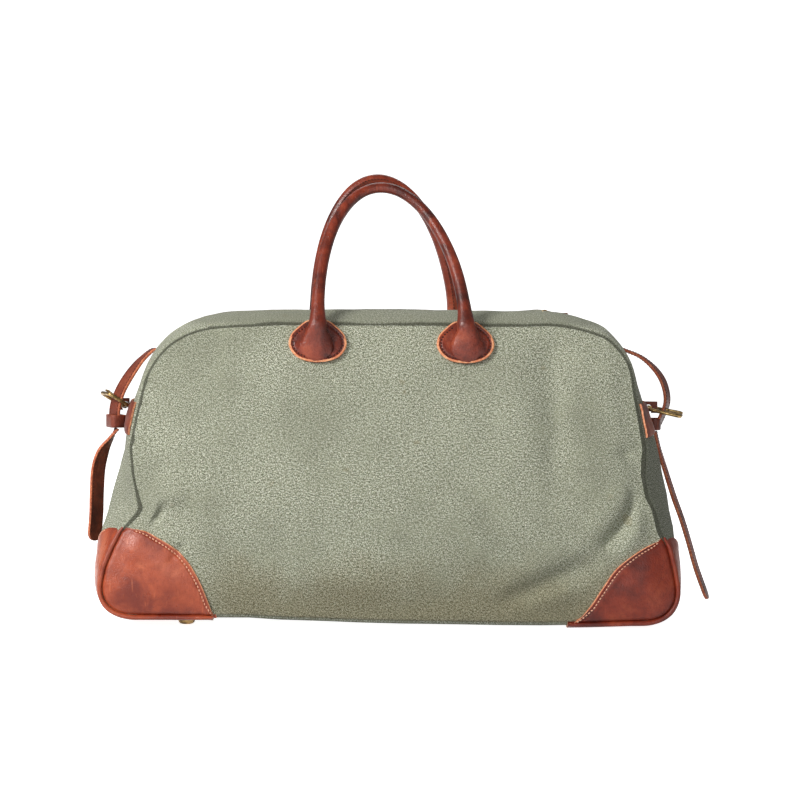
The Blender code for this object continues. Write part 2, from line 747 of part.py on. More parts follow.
def zip_end(name, side):
    """The zip's fixed end, where the slider parks: two short rows of teeth that meet in a stop."""
    middle, half = zip_levels()
    start, (stop, end) = MOUTH_HALF_X + 0.5 * MM, ZIP_STOP_X
    outline = [(start, TEETH[1]), (start, TEETH[0]), (end, TEETH[0]), (end, -TEETH[0])]
    outline += [(start, -TEETH[0]), (start, -TEETH[1]), (stop, -TEETH[1]), (stop, TEETH[1])]
    bm = bmesh.new()
    bottom = bm.faces.new([bm.verts.new((side * x, y, middle - half)) for x, y in outline])
    top = bmesh.ops.extrude_face_region(bm, geom=[bottom], use_keep_orig=True)["geom"]
    for vert in (v for v in top if isinstance(v, bmesh.types.BMVert)):
        vert.co.z = middle + half
    return add_object(name, bm, "brass")


def zip_slider():
    """Two plates joined by a web that runs between the rows of teeth, with a bail on top."""
    middle, half = zip_levels()
    length, wide, plate, web = SLIDER
    clear = 0.35 * MM
    inner, outer = half + clear, half + clear + plate
    section = [(-web, inner), (-wide, inner), (-wide, outer), (wide, outer), (wide, inner), (web, inner)]
    section += [(-y, -z) for y, z in section]
    rings = [[Vector((SLIDER_X + x, y, middle + z)) for y, z in section] for x in (-length / 2, length / 2)]
    made = loft("zip_slider", "brass", rings)
    arch, lift, wire = BAIL
    eye = Vector((SLIDER_X, 0, middle + outer + lift))
    path = [eye + Vector((-arch, 0, -lift - plate / 2))]
    for k in range(7):
        angle = math.pi * (1 - k / 6)
        path.append(eye + Vector((arch * math.cos(angle), 0, arch * math.sin(angle))))
    path.append(eye + Vector((arch, 0, -lift - plate / 2)))
    bail = tube("zip_bail", "brass", path, wire, Vector((0, 1, 0)), 6)
    bail.hide_render = True
    bail.display_type = "WIRE"
    cut(made, bail, "UNION")
    return eye


def zip_pull(eye):
    """The pull: a brass ring through the slider's bail, and a leather tongue along the zip's end."""
    length, width, thick = PULL
    near, far, wide, wire = 1.3 * MM, 6.6 * MM, 2.6 * MM, 0.6 * MM
    path = []
    for k in range(12):
        angle = 2 * math.pi * k / 12
        x = (near + far) / 2 + (far - near) / 2 * math.cos(angle)
        path.append(eye + Vector((x, wide * math.sin(angle), 0)))
    tube("zip_pull_ring", "brass", path, wire, Vector((0, 0, 1)), 6, closed=True)
    start = eye.x + far + wire + GAP
    box(
        "zip_pull",
        (start, -width / 2, eye.z - thick / 2),
        (start + length, width / 2, eye.z + thick / 2),
        "leather",
    )


# ---------------------------------------------------------------- end straps


def end_band(name, side):
    """The leather band across the bag's end that carries the buckle."""
    points, inwards = [], []
    for z in (BAND_Z[0], sum(BAND_Z) / 2, BAND_Z[1]):
        place = place_at_height(z)
        half = half_depth(outline_at(place)[1]) - CANVAS
        row = [strip_point(place, half * (k / 4 - 1), LEATHER_GAP + LEATHER) for k in range(9)]
        points.append([mirrored(p, side) for p, _ in row])
        inwards.append([mirrored(way, side) for _, way in row])
    return sheet(name, "leather", points, inwards, LEATHER)


def buckle_root():
    """Where the buckle's tab meets the band, on the right-hand end."""
    point, _ = strip_point(place_at_height(BUCKLE_Z), 0, LEATHER_GAP + LEATHER)
    return point.x


def buckle_place(side_name, out, y, z, share=1.0):
    """A point out from the band, across, and up from BUCKLE_Z, turned by a share of the buckle's yaw."""
    yaw = YAW[side_name] * share
    x = buckle_root() + out * math.cos(yaw) + y * math.sin(yaw)
    return Vector((SIDES[side_name] * x, y * math.cos(yaw) - out * math.sin(yaw), BUCKLE_Z + z))


def bar_direction(side_name):
    """The way the buckle's bar runs."""
    return (buckle_place(side_name, 0, 1, 0) - buckle_place(side_name, 0, 0, 0)).normalized()


def on_buckle(side_name, run, rise):
    """(out, up) of a point run along the buckle's plane from its bar, and rise above that plane."""
    tilt = TILT[side_name]
    return (
        BAR[0] + run * math.cos(tilt) - rise * math.sin(tilt),
        BAR[1] + run * math.sin(tilt) + rise * math.cos(tilt),
    )


def buckle_tab(side_name):
    """A leather strip from the band, round the buckle's bar and back, with a slot for the pin."""
    loop = FRAME[3] + GAP + BUCKLE_TAB / 2
    foot = GAP + BUCKLE_TAB / 2
    profile = [(foot + 3.6 * MM, -14 * MM, 0), (foot + 4.6 * MM, -8 * MM, 0.2), (9.2 * MM, -2 * MM, 0.6)]
    profile.append((11.4 * MM, 3.6 * MM, 1))
    for degrees in (-12, 35, 85, 135):
        angle = math.radians(degrees)
        profile.append((BAR[0] + loop * math.cos(angle), BAR[1] + loop * math.sin(angle), 1))
    profile += [(5.2 * MM, 7.4 * MM, 0.6), (foot + 1.2 * MM, 2.6 * MM, 0), (foot + 2.2 * MM, -3.5 * MM, 0)]
    path, facing = [], []
    for out, z, share in profile:
        path.append(buckle_place(side_name, out, 0, z, share))
        facing.append((buckle_place(side_name, out, 1, z, share) - path[-1]).normalized())
    made = ribbon(f"buckle_tab_{side_name}", "leather", path, facing, BUCKLE_TAB_WIDTH, BUCKLE_TAB)
    half = PIN_EYE[2] + 0.5 * MM
    reach = PIN_EYE[1] + 1.2 * MM
    corners = []
    for out, z in ((-reach, -reach), (2 * reach, -reach), (2 * reach, 1.6 * reach), (-reach, 1.6 * reach)):
        corners.append((BAR[0] + out, BAR[1] + z))
    rings = [[buckle_place(side_name, out, y, z) for out, z in corners] for y in (-half, half)]
    slot = loft(f"pin_slot_{side_name}", None, rings, cutter=True)
    cut(made, slot)


def keeper(side_name):
    """The leather loop under the buckle that holds the strap's tail in."""
    inner, outer, low, high = KEEPER
    wide, thick = KEEPER_HOLE_HALF_WIDTH, KEEPER_LEATHER
    rings = []
    for grow in (0, thick):
        near, far, edge = inner - grow, outer + grow, wide + grow
        rings.append([(near, -edge), (far, -edge), (far, edge), (near, edge)])
    hole = [[buckle_place(side_name, out, y, z) for out, y in rings[0]] for z in (low, high)]
    body = [[buckle_place(side_name, out, y, z) for out, y in rings[1]] for z in (low, high)]
    loft(f"strap_keeper_{side_name}", "leather", body, bores=hole)


def buckle(side_name):
    """The brass frame: a rounded rectangle of wire, from its bar outwards."""
    length, half, corner, wire = FRAME
    path = []
    for sign_run, sign_y, start in ((1, 1, 0), (0, 1, 90), (0, -1, 180), (1, -1, 270)):
        for step in range(3):
            angle = math.radians(start + 45 * step)
            run = (length - corner if sign_run else corner) + corner * math.cos(angle)
            y = sign_y * (half - corner) + corner * math.sin(angle)
            out, z = on_buckle(side_name, run, 0)
            path.append(buckle_place(side_name, out, y, z))
    out, z = on_buckle(side_name, 0, 1)
    across = (buckle_place(side_name, out, 0, z) - buckle_place(side_name, *BAR_POINT)).normalized()
    tube(f"buckle_frame_{side_name}", "brass", path, wire, across, 6, closed=True)


BAR_POINT = (BAR[0], 0, BAR[1])


def buckle_pin(side_name):
    """The pin: an eye round the bar, and a tongue whose tip lies on the frame's far bar."""
    bore, outside, half = PIN_EYE
    wide = bar_direction(side_name)
    rings, hole = [], []
    for y in (-half, half):
        centre = buckle_place(side_name, BAR[0], y, BAR[1])
        out, z = on_buckle(side_name, 0, 1)
        rise = (buckle_place(side_name, out, y, z) - centre).normalized()
        rings.append(ring_points(centre, wide, rise, outside, 10))
        hole.append(ring_points(centre, wide, rise, bore, 10))
    made = loft(f"buckle_pin_{side_name}", "brass", rings, bores=hole)
    path = []
    tip = FRAME[0] + 1.6 * MM
    for run, rise in ((2.5 * MM, 1.2 * MM), (9 * MM, 2.4 * MM), (20 * MM, PIN_RISE), (tip, PIN_RISE)):
        out, z = on_buckle(side_name, run, rise)
        path.append(buckle_place(side_name, out, 0, z))
    tongue = tube(f"pin_tongue_{side_name}", "brass", path, PIN_RADIUS, wide, 8)
    tongue.hide_render = True
    tongue.display_type = "WIRE"
    cut(made, tongue, "UNION")


# Down each strap from its anchor: (x on the right-hand end, height, share of the buckle's yaw)
STRAP_LINE = [
    (244 * MM, 276.5 * MM, 0),
    (255 * MM, 267 * MM, 0.2),
    (264.5 * MM, 255.5 * MM, 0.5),
    (272.5 * MM, 241 * MM, 0.75),
    (277.3 * MM, 227 * MM, 1.0),
    (278.6 * MM, 215 * MM, 1.0),
    (278.2 * MM, 205 * MM, 1.0),
    (278.0 * MM, 193.5 * MM, 1.0),
]
TAIL_PIVOT_RISE = 1.2  # from the top of a tail to the axis it swings about, in millimetres
STRAP_ANCHOR_X = (188 * MM, 204 * MM, 219 * MM, 231 * MM)
# (x, y, height, twist to the front in degrees) down each tail, from the keeper
TAILS = {
    "right": [
        (277.6, -3.5, 191.1, 12),
        (278, -3.8, 174, 15),
        (283.5, -4, 150, 18),
        (292.5, -4, 122, 20),
        (301.5, -4, 93, 20),
        (308.5, -4, 62, 20),
        (314, -4, 34, 20),
    ],
    "left": [
        (276, -6.4, 191.1, 22),
        (281.5, -8, 178, -5),
        (292.5, -10, 157, -45),
        (300.5, -11, 134, -50),
        (303.5, -11, 108, -50),
        (303.5, -11, 84, -45),
    ],
}


def strap_top_point(x):
    """A point of the strap where it is sewn down over the zip's end, on the top corner."""
    ring = OUTLINE[TOP_ARC : TOP_ARC_END + 1]
    for k, ((x0, *_), (x1, *_)) in enumerate(zip(ring, ring[1:])):
        if x1 <= x <= x0:
            place = TOP_ARC + k + (x0 - x) / (x0 - x1)
            point = strip_point(place, STRAP_WIDTH / 2, LEATHER_GAP + GAP + STRAP / 2)[0]
            return Vector((point.x, 0, point.z))
    raise ValueError(x)


def turned_point(side_name, x, z, share):
    """A point of the strap's middle line, moved with the buckle's yaw by a share of it."""
    yaw = YAW[side_name] * share
    out = x - buckle_root()
    px = buckle_root() + out * math.cos(yaw) if out > 0 else x
    py = -max(0, out) * math.sin(yaw)
    side = SIDES[side_name]
    return Vector((side * px, py, z)), Vector((side * math.sin(yaw), math.cos(yaw), 0))


def strap(side_name):
    """The end strap from its anchor over the zip's end, through the buckle and the keeper."""
    points, facing = [], []
    for x in STRAP_ANCHOR_X:
        points.append(mirrored(strap_top_point(x), SIDES[side_name]))
        facing.append(Vector((0, 1, 0)))
    for x, z, share in STRAP_LINE:
        point, wide = turned_point(side_name, x, z, share)
        points.append(point)
        facing.append(wide)
    path = smooth(points, 2)
    widths = [w.normalized() for w in smooth(facing, 2)]
    made = ribbon(f"end_strap_{side_name}", "leather", path, widths, STRAP_WIDTH, STRAP)
    reach = 16 * MM
    low = on_buckle_slope(side_name, 0) - 4.8 * MM
    high = on_buckle_slope(side_name, PIN_LIFT[side_name]) + 3.2 * MM
    corners = []
    for y, z in ((-1, low), (1, low), (1, high), (-1, high)):
        corners.append((y * PIN_SLOT_HALF_WIDTH, z))
    rings = []
    for out in (BAR[0] + 4 * MM, BAR[0] + reach + 4 * MM):
        rings.append([buckle_place(side_name, out, y, z) for y, z in corners])
    slot = loft(f"strap_slot_{side_name}", None, rings, cutter=True)
    cut(made, slot)


def on_buckle_slope(side_name, lift):
    """How high the pin crosses the strap, above BUCKLE_Z, when it is lifted by this angle."""
    run = STRAP_LINE[5][0] - buckle_root() - BAR[0]
    return BAR[1] + run * math.tan(TILT[side_name] + lift) + PIN_RISE


def strap_tail(side_name):
    """The strap's free end, which hangs out of the keeper and swings."""
    points, facing = [], []
    side = SIDES[side_name]
    for x, y, z, twist in TAILS[side_name]:
        angle = math.radians(twist)
        points.append(Vector((side * x, y, z)) * MM)
        facing.append(Vector((side * math.sin(angle), math.cos(angle), 0)))
    path = smooth(points, 2)
    widths = [w.normalized() for w in smooth(facing, 2)]
    ribbon(f"strap_tail_{side_name}", "leather", path, widths, STRAP_WIDTH, STRAP)


# ---------------------------------------------------------------- the whole bag


def hang(names, point):
    """Puts the origins of these pieces at a point of the axis that they turn or slide about."""
    for name in names:
        made = bpy.data.objects[name]
        made.data.transform(Matrix.Translation(-point))
        made.location = point


def hang_moving_pieces(eye):
    hinge_height = strip_point(len(OUTLINE) - 1, FLAP_HINGE_Y)[0].z - CANVAS / 2
    for face_name, face in FACES.items():
        flap_names = [f"top_flap_{face_name}", f"zip_tape_{face_name}", f"zip_teeth_{face_name}"]
        hang(flap_names, Vector((0, face * FLAP_HINGE_Y, hinge_height)))
        handle_names = [f"handle_{face_name}", f"handle_core_{face_name}"]
        hang(handle_names, Vector((0, face * PIVOT_Y, PIVOT_Z)))
    for side_name, side in SIDES.items():
        hang([f"buckle_frame_{side_name}", f"buckle_pin_{side_name}"], buckle_place(side_name, *BAR_POINT))
        x, y, height, _ = TAILS[side_name][0]
        hang([f"strap_tail_{side_name}"], Vector((side * x, y, height + TAIL_PIVOT_RISE)) * MM)
    hang(["zip_slider", "zip_pull", "zip_pull_ring"], eye)


def clear_scene():
    for old in list(bpy.data.objects):
        bpy.data.objects.remove(old)


def build():
    clear_scene()
    holes = feet()
    for drilled in (base_panel(), lining(), base_board()):
        cut(drilled, holes)
    for face_name, face in FACES.items():
        panel(f"{face_name}_panel", face)
        flap(f"top_flap_{face_name}", face)
        strip_band(f"zip_tape_{face_name}", "tape", face, TAPE[:2], 2, TAPE[2], -CANVAS - 0.3 * MM)
        zip_teeth(f"zip_teeth_{face_name}", face)
        handle(face_name)
        for side_name, side in SIDES.items():
            where = f"{face_name}_{side_name}"
            corner_face(f"corner_face_{where}", side, face)
            cut(corner_side(f"corner_side_{where}", side, face), holes)
            corner_welt(f"corner_welt_{where}", side, face)
            handle_tab(f"handle_tab_{where}", side, face)
    for side_name, side in SIDES.items():
        end_gusset(f"end_gusset_{side_name}", side)
        zip_end(f"zip_end_{side_name}", side)
        end_band(f"end_band_{side_name}", side)
        buckle_tab(side_name)
        keeper(side_name)
        buckle(side_name)
        buckle_pin(side_name)
        strap(side_name)
        strap_tail(side_name)
    eye = zip_slider()
    zip_pull(eye)
    hang_moving_pieces(eye)


build()
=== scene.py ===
import math
import random

import bmesh
import bpy
import numpy as np
from mathutils import Matrix, Vector


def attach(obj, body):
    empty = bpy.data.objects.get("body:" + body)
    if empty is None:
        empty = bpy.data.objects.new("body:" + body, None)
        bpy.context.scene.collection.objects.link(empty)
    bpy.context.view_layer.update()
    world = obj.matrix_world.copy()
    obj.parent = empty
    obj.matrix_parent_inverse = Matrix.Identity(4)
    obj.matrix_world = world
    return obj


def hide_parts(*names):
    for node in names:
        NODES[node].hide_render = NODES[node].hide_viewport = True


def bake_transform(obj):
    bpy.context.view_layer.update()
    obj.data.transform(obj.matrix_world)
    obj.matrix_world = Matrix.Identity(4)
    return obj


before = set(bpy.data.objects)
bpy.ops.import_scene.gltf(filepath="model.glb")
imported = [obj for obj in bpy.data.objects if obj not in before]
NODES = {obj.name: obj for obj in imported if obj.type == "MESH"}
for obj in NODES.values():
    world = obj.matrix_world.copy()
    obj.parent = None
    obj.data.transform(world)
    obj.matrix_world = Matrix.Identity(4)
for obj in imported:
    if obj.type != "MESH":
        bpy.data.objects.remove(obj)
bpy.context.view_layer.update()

SIDES = {"left": -1, "right": 1}
FACES = {"front": -1, "back": 1}
rng = random.Random(7)

# All shapes below are in millimetres, and become metres when a mesh is made.
MM = 0.001

# The bag's form, as in the CAD model
BASE_Z, TOP_Z = 12.0, 303.0
BASE_VERTEX_X, TOP_VERTEX_X = 292.5, 235.7
BASE_TRIM, TOP_TRIM = (42.0, 36.0), (62.0, 80.0)
CORNER_PULL = 0.6
BASE_HALF_DEPTH, TOP_HALF_DEPTH, DEPTH_POWER = 112.0, 66.0, 1.5
PANEL_CROWN, CROWN_POWER = 10.0, 2.6
BASE_SAG, BASE_FLATNESS, END_CROWN = 3.0, 16, 4.0
TOP_ARCH, ZIP_RISE = 11.0, 6.0
CANVAS, LEATHER, LEATHER_GAP, GAP = 1.5, 2.0, 0.6, 0.4
FLAP_EDGE_Y, SLOT_END_X = 7.0, 182.0
TAB_X, PIVOT_Y, PIVOT_Z = 74.0, 81.5, 300.0
HANDLE_RISE, HANDLE_HALF_SPAN, HANDLE_SKEW, HANDLE_SKEW_POWER = 154.0, 74.0, -9.0, 1.3
LEAN = {"front": math.radians(24.5), "back": math.radians(2)}
FOOT_X, FOOT_Y = 203.0, 78.0
BUCKLE_Z = 206.0
YAW = {"left": math.radians(22), "right": math.radians(12)}
TILT = {"left": math.radians(31), "right": math.radians(-12)}
TURN_OUT = {"left": math.radians(36), "right": math.radians(25)}
# The buckle bar: how far it stands out from the end, and how far above BUCKLE_Z
BAR = (10.5, 9.0)
FRAME_LENGTH = {"left": 24.0, "right": 34.0}
# Half width, corner radius and wire radius
FRAME = (14.0, 4.0, 1.75)
STRAP_WIDTH, STRAP = 18.0, 3.0
STRAP_SUNK, STRAP_GROOVE = 2.8, 3.6
# How far the keeper's hole reaches out, from and to, and its bottom and top against BUCKLE_Z
KEEPER = {"left": (13.6, 26.0, -13.5, -0.5), "right": (13.6, 21.5, -13.0, -1.0)}
KEEPER_HOLE_HALF_WIDTH, KEEPER_LEATHER = 10.0, 1.8

# How the cloth turns in at a seam
SEAM_TURN = 4.0
SEAM_INSET = 0.9
SEAM_CREASE = 0.7
SEAM_ALLOWANCE = 4.0


# ---------------------------------------------------------------- outline


FLAT_STEPS, ARC_STEPS, TOP_STEPS = 60, 30, 40
BASE_END = FLAT_STEPS
HEAD = BASE_END + ARC_STEPS + FLAT_STEPS
END_SPAN = slice(BASE_END, HEAD + ARC_STEPS + 1)


def corner_curve(start, vertex, end):
    """A rounded corner of the outline: x, z and outward normal at each point."""
    a = start.lerp(vertex, CORNER_PULL)
    b = end.lerp(vertex, CORNER_PULL)
    found = []
    for k in range(ARC_STEPS + 1):
        t = k / ARC_STEPS
        u = 1 - t
        p = start * u**3 + a * (3 * u * u * t) + b * (3 * u * t * t) + end * t**3
        run = (a - start) * (u * u) + (b - a) * (2 * u * t) + (end - b) * (t * t)
        run.normalize()
        found.append((p.x, p.y, run.y, -run.x))
    return found


def dense_outline():
    """Columns x, z, normal x, normal z, stretch of the right half, from the base's middle to the top's."""
    low, high = Vector((BASE_VERTEX_X, BASE_Z)), Vector((TOP_VERTEX_X, TOP_Z))
    up = (high - low).normalized()
    base = corner_curve(low - Vector((BASE_TRIM[0], 0)), low, low + up * BASE_TRIM[1])
    top = corner_curve(high - up * TOP_TRIM[0], high, high - Vector((TOP_TRIM[1], 0)))
    rows = [(base[0][0] * k / FLAT_STEPS, BASE_Z, 0, -1, 0) for k in range(FLAT_STEPS)]
    rows += [(*p, k / ARC_STEPS) for k, p in enumerate(base)]
    foot, head = Vector(base[-1][:2]), Vector(top[0][:2])
    rows += [(*foot.lerp(head, k / FLAT_STEPS), up.y, -up.x, 1) for k in range(1, FLAT_STEPS)]
    rows += [(*p, 1 + k / ARC_STEPS) for k, p in enumerate(top)]
    rows += [(top[-1][0] * (1 - k / TOP_STEPS), TOP_Z, 0, 1, 2) for k in range(1, TOP_STEPS + 1)]
    return np.array(rows)


OUT = dense_outline()
OUT_S = np.concatenate([[0], np.cumsum(np.hypot(np.diff(OUT[:, 0]), np.diff(OUT[:, 1])))])


def outline(s):
    """x, z, normal x, normal z and stretch at lengths s along the outline."""
    return [np.interp(s, OUT_S, OUT[:, k]) for k in range(5)]


def s_at_height(z):
    return float(np.interp(z, OUT[END_SPAN, 1], OUT_S[END_SPAN]))


def s_at_base(x):
    return float(np.interp(x, OUT[:BASE_END + 1, 0], OUT_S[:BASE_END + 1]))


def s_at_top(x):
    return float(np.interp(-x, -OUT[HEAD:, 0], OUT_S[HEAD:]))


def half_width(z):
    return np.interp(z, OUT[END_SPAN, 1], OUT[END_SPAN, 0])


def half_depth(z):
    """The bag's half depth along Y at its seams, by height."""
    share = np.clip((np.asarray(z) - BASE_Z) / (TOP_Z - BASE_Z), 0, 1)
    return TOP_HALF_DEPTH + (BASE_HALF_DEPTH - TOP_HALF_DEPTH) * (1 - share**DEPTH_POWER)


def panel_depth(x, z):
    """How far a panel's crowned face is from the middle, before folds and slack."""
    across = np.minimum(1, np.abs(x) / half_width(z))
    upwards = np.minimum(1, np.abs(2 * (z - BASE_Z) / (TOP_Z - BASE_Z) - 1))
    return half_depth(z) + PANEL_CROWN * (1 - across**CROWN_POWER) * (1 - upwards**CROWN_POWER)


def seam_drop(e, turn=SEAM_TURN, crease=SEAM_CREASE):
    """How far a surface turns in, at a distance e from the seam line."""
    near = np.clip(turn - e, 0, turn)
    return turn - np.sqrt(turn * turn - near * near) + crease * np.exp(-(((e - SEAM_INSET) / 0.9) ** 2))


def seam_distance(x, z):
    """Distance from points of a panel to the outline."""
    ring = np.concatenate([OUT[:, :2], OUT[::-1, :2] * (-1, 1)])
    a, b = ring[:-1], ring[1:]
    run = b - a
    squared = np.maximum((run**2).sum(1), 1e-9)
    points = np.stack([np.ravel(x), np.ravel(z)], 1)
    found = np.empty(len(points))
    for start in range(0, len(points), 4000):
        p = points[start:start + 4000, None, :]
        t = np.clip(((p - a) * run).sum(2) / squared, 0, 1)
        found[start:start + 4000] = np.sqrt((((p - a) - run * t[..., None]) ** 2).sum(2).min(1))
    return found.reshape(np.shape(x))


def smoothstep(t):
    """An even ramp from 0 to 1, flat at both ends."""
    t = np.clip(t, 0, 1)
    return t * t * (3 - 2 * t)


# How far the side seams are drawn in, by height: where the cloth has slumped
PINCH_Z = [48, 61, 80, 95, 103, 112, 118, 130, 152, 178, 205, 240, 262]
PINCH = {
    "left": [0, 0, 4, 9, 14, 20, 22, 17, 8, 0, 0, 0, 0],
    "right": [1, 1, 2, 7, 8, 8.5, 9, 13, 12, 5, 4.5, 3.5, 0],
}

# How far the bottom hangs below its level, and how far the top sinks, along the bag
SAG_X = [-140, -110, -70, -30, 10, 60, 110, 150, 200, 240, 290]
SAG = [0, 2.0, 3.2, 4.8, 5.8, 6.4, 7.2, 7.4, 6.6, 5.4, 5.0]
SINK_X = [-261, -241, -221, -201, -181, -161, -141, -121, -60, 40, 98, 138, 158, 178, 198, 218, 238, 258]
SINK = [5, 5, 3.2, 3.2, 4, 4.4, 3.5, 2, 1.5, 1, 1.8, 0.9, 0.2, 0.4, -0.6, -4, -2, 0]
FLOOR_CLEARANCE = 0.5


def warp(p, slack=True):
    """Draws the side seams in, and lets the bottom hang and the top sink where the bag is slack."""
    x, y, z = p[..., 0], p[..., 1], p[..., 2]
    pinch = np.where(x < 0, np.interp(z, PINCH_Z, PINCH["left"]), np.interp(z, PINCH_Z, PINCH["right"]))
    pinch = pinch * np.where(y < 0, 1.0, 0.6)
    out = smoothstep((np.abs(x) / half_width(z) - 0.80) / 0.2)
    across = np.abs(y) / half_depth(z)
    seam = smoothstep((across - 0.5) / 0.5)
    moved = p.copy()
    moved[..., 0] = x - np.sign(x) * pinch * out * seam
    if slack:
        moved[..., 2] = z - np.interp(x, SAG_X, SAG) * smoothstep((75 - z) / 70) \
            - np.interp(x, SINK_X, SINK) * smoothstep((z - 200) / 70) \
            * np.maximum(smoothstep(across / 0.5), smoothstep((np.abs(x) - SLOT_END_X - 2) / 8))
        moved[..., 2] = np.maximum(moved[..., 2], FLOOR_CLEARANCE)
    return moved


# ---------------------------------------------------------------- noise for shapes


def value_noise(x, z, scale, seed):
    """Smooth noise from -1 to 1 over two coordinates."""
    grid = np.random.RandomState(seed).uniform(-1, 1, (64, 64))
    u, v = np.asarray(x) / scale + 31.7, np.asarray(z) / scale + 17.3
    i, j = np.floor(u).astype(int), np.floor(v).astype(int)
    fu, fv = smoothstep(u - i), smoothstep(v - j)
    i, j, right, above = i % 64, j % 64, (i + 1) % 64, (j + 1) % 64
    low = grid[i, j] * (1 - fu) + grid[right, j] * fu
    high = grid[i, above] * (1 - fu) + grid[right, above] * fu
    return low * (1 - fv) + high * fv


def stroke(x, z, start, end, width, depth, taper=0.3):
    """A straight crease on a panel: a valley if depth is negative, a ridge if it is positive."""
    a, b = np.array(start), np.array(end)
    run = b - a
    t = ((x - a[0]) * run[0] + (z - a[1]) * run[1]) / (run @ run)
    inside = np.clip(t, 0, 1)
    away = np.hypot(x - a[0] - run[0] * inside, z - a[1] - run[1] * inside)
    fade = smoothstep(np.minimum(t + taper, 1 + taper - t) / (2 * taper))
    return depth * np.exp(-((away / width) ** 2)) * fade


# Creases of each panel: start, end, width and depth, a valley where the depth is negative
FOLDS = {
    "front": [
        ((256, 134), (212, 82), 6.0, -5.0),
        ((266, 116), (226, 74), 10.0, 3.0),
        ((236, 140), (196, 92), 12.0, 2.2),
        ((199, 65), (103, 26), 10.0, -4.0),
        ((186, 50), (112, 14), 12.0, 2.5),
        ((190, 84), (100, 44), 14.0, 2.0),
        ((244, 176), (241, 168), 11.0, -4.0),
        ((160, 290), (164, 120), 15.0, -3.2),
        ((120, 300), (128, 190), 18.0, 1.6),
        ((-184, 296), (-176, 282), 5.0, -1.6),
        ((-168, 296), (-162, 284), 5.0, 1.4),
        ((-238, 114), (-230, 107), 11.0, -3.0),
        ((-213, 78), (-208, 74), 9.0, -2.4),
        ((-246, 124), (-205, 132), 9.0, 2.4),
        ((-250, 152), (-214, 160), 10.0, -1.6),
        ((-226, 290), (-236, 236), 9.0, -1.6),
        ((-150, 60), (40, 44), 22.0, 1.6),
        ((-60, 292), (-20, 286), 6.0, -1.0),
        ((20, 296), (44, 286), 6.0, -1.2),
    ],
    "back": [
        ((-250, 130), (-196, 84), 8.0, -4.0),
        ((-196, 70), (-90, 30), 12.0, -4.0),
        ((240, 118), (196, 96), 8.0, -3.6),
        ((-120, 290), (-128, 130), 16.0, -3.0),
        ((90, 280), (110, 150), 20.0, -2.4),
        ((180, 60), (60, 30), 14.0, -2.4),
        ((0, 290), (-14, 200), 18.0, 1.8),
    ],
}
FOLD_DEPTH = 1.45


def folds(face_name, x, z):
    """A panel's creases and its uneven surface, outwards."""
    total = np.zeros(np.shape(x))
    for start, end, width, depth in FOLDS[face_name]:
        total += stroke(x, z, start, end, width, FOLD_DEPTH * depth)
    seed = 3 if face_name == "front" else 11
    total += 2.4 * value_noise(x, z * 0.6, 70, seed) + 1.1 * value_noise(x, z, 32, seed + 1)
    total += 0.25 * value_noise(x, z, 13, seed + 2)
    return total


def panel_point(face_name, x, z):
    """Points of a panel's outer face."""
    face = FACES[face_name]
    e = seam_distance(x, z)
    free = smoothstep((e - 4) / 26)
    y = panel_depth(x, z) - seam_drop(e) + folds(face_name, x, z) * free
    ripple = 0.5 * value_noise(x + z, x * 0, 9, 5) * np.exp(-(((e - 8) / 6) ** 2))
    return warp(np.stack([x, face * (y + ripple), z], -1))


# How far the bag's ends bulge between their middle and their seams, by height
BULGE_Z = [10, 40, 60, 90, 121, 146, 172, 185, 205, 222, 250]
BULGE = {-1: [0, 4, 7, 10, 5.5, 4, 2, 3, 4.5, 3, 0], 1: [0, 4, 7, 10, 9.7, 9.4, 9.1, 8, 5, 3, 0]}


def strip_rise(stretch, y, z, side=1):
    """How far the strip stands out from the outline: on the base, the end and the top."""
    t = np.minimum(1, np.abs(y) / half_depth(z))
    on_base, on_top = np.maximum(0, 1 - stretch), np.maximum(0, stretch - 1)
    on_end = 1 - on_base - on_top
    arch = TOP_ARCH * np.sin(math.pi * t**1.1) + ZIP_RISE * (1 - t) ** 2
    bulge = np.interp(z, BULGE_Z, BULGE[side])
    end = END_CROWN * (1 - t * t) + bulge * np.sin(math.pi * t**1.6)
    return on_base * BASE_SAG * (1 - t**BASE_FLATNESS) + on_end * end + on_top * arch


def strip_point(s, share, side=1, out=0.0, seam=True):
    """Points of the strip's outer face, at lengths s along the outline and shares from -1 to 1 across it."""
    x, z, nx, nz, stretch = outline(s)
    half = half_depth(z) - (SEAM_INSET if seam else 0)
    y = share * half
    away = strip_rise(stretch, y, z, side) + out
    if seam:
        away = away - seam_drop(half_depth(z) - np.abs(y))
    return warp(np.stack([side * (x + nx * away), y + 0 * x, z + nz * away], -1))


# ---------------------------------------------------------------- meshes


def link(made):
    bpy.context.scene.collection.objects.link(made)
    return made


def lengths(points):
    """The length along a line at each of its points."""
    return np.concatenate([[0], np.cumsum(np.linalg.norm(np.diff(points, axis=0), axis=1))])


def face_outwards(made, way=0):
    """Turns a mesh's faces outwards. An open sheet's first face looks along Y, with the sign of way."""
    bm = bmesh.new()
    bm.from_mesh(made.data)
    bmesh.ops.recalc_face_normals(bm, faces=bm.faces[:])
    if way and (bm.faces[0].normal.y > 0) != (way > 0):
        bmesh.ops.reverse_faces(bm, faces=bm.faces[:])
    bm.to_mesh(made.data)
    bm.free()


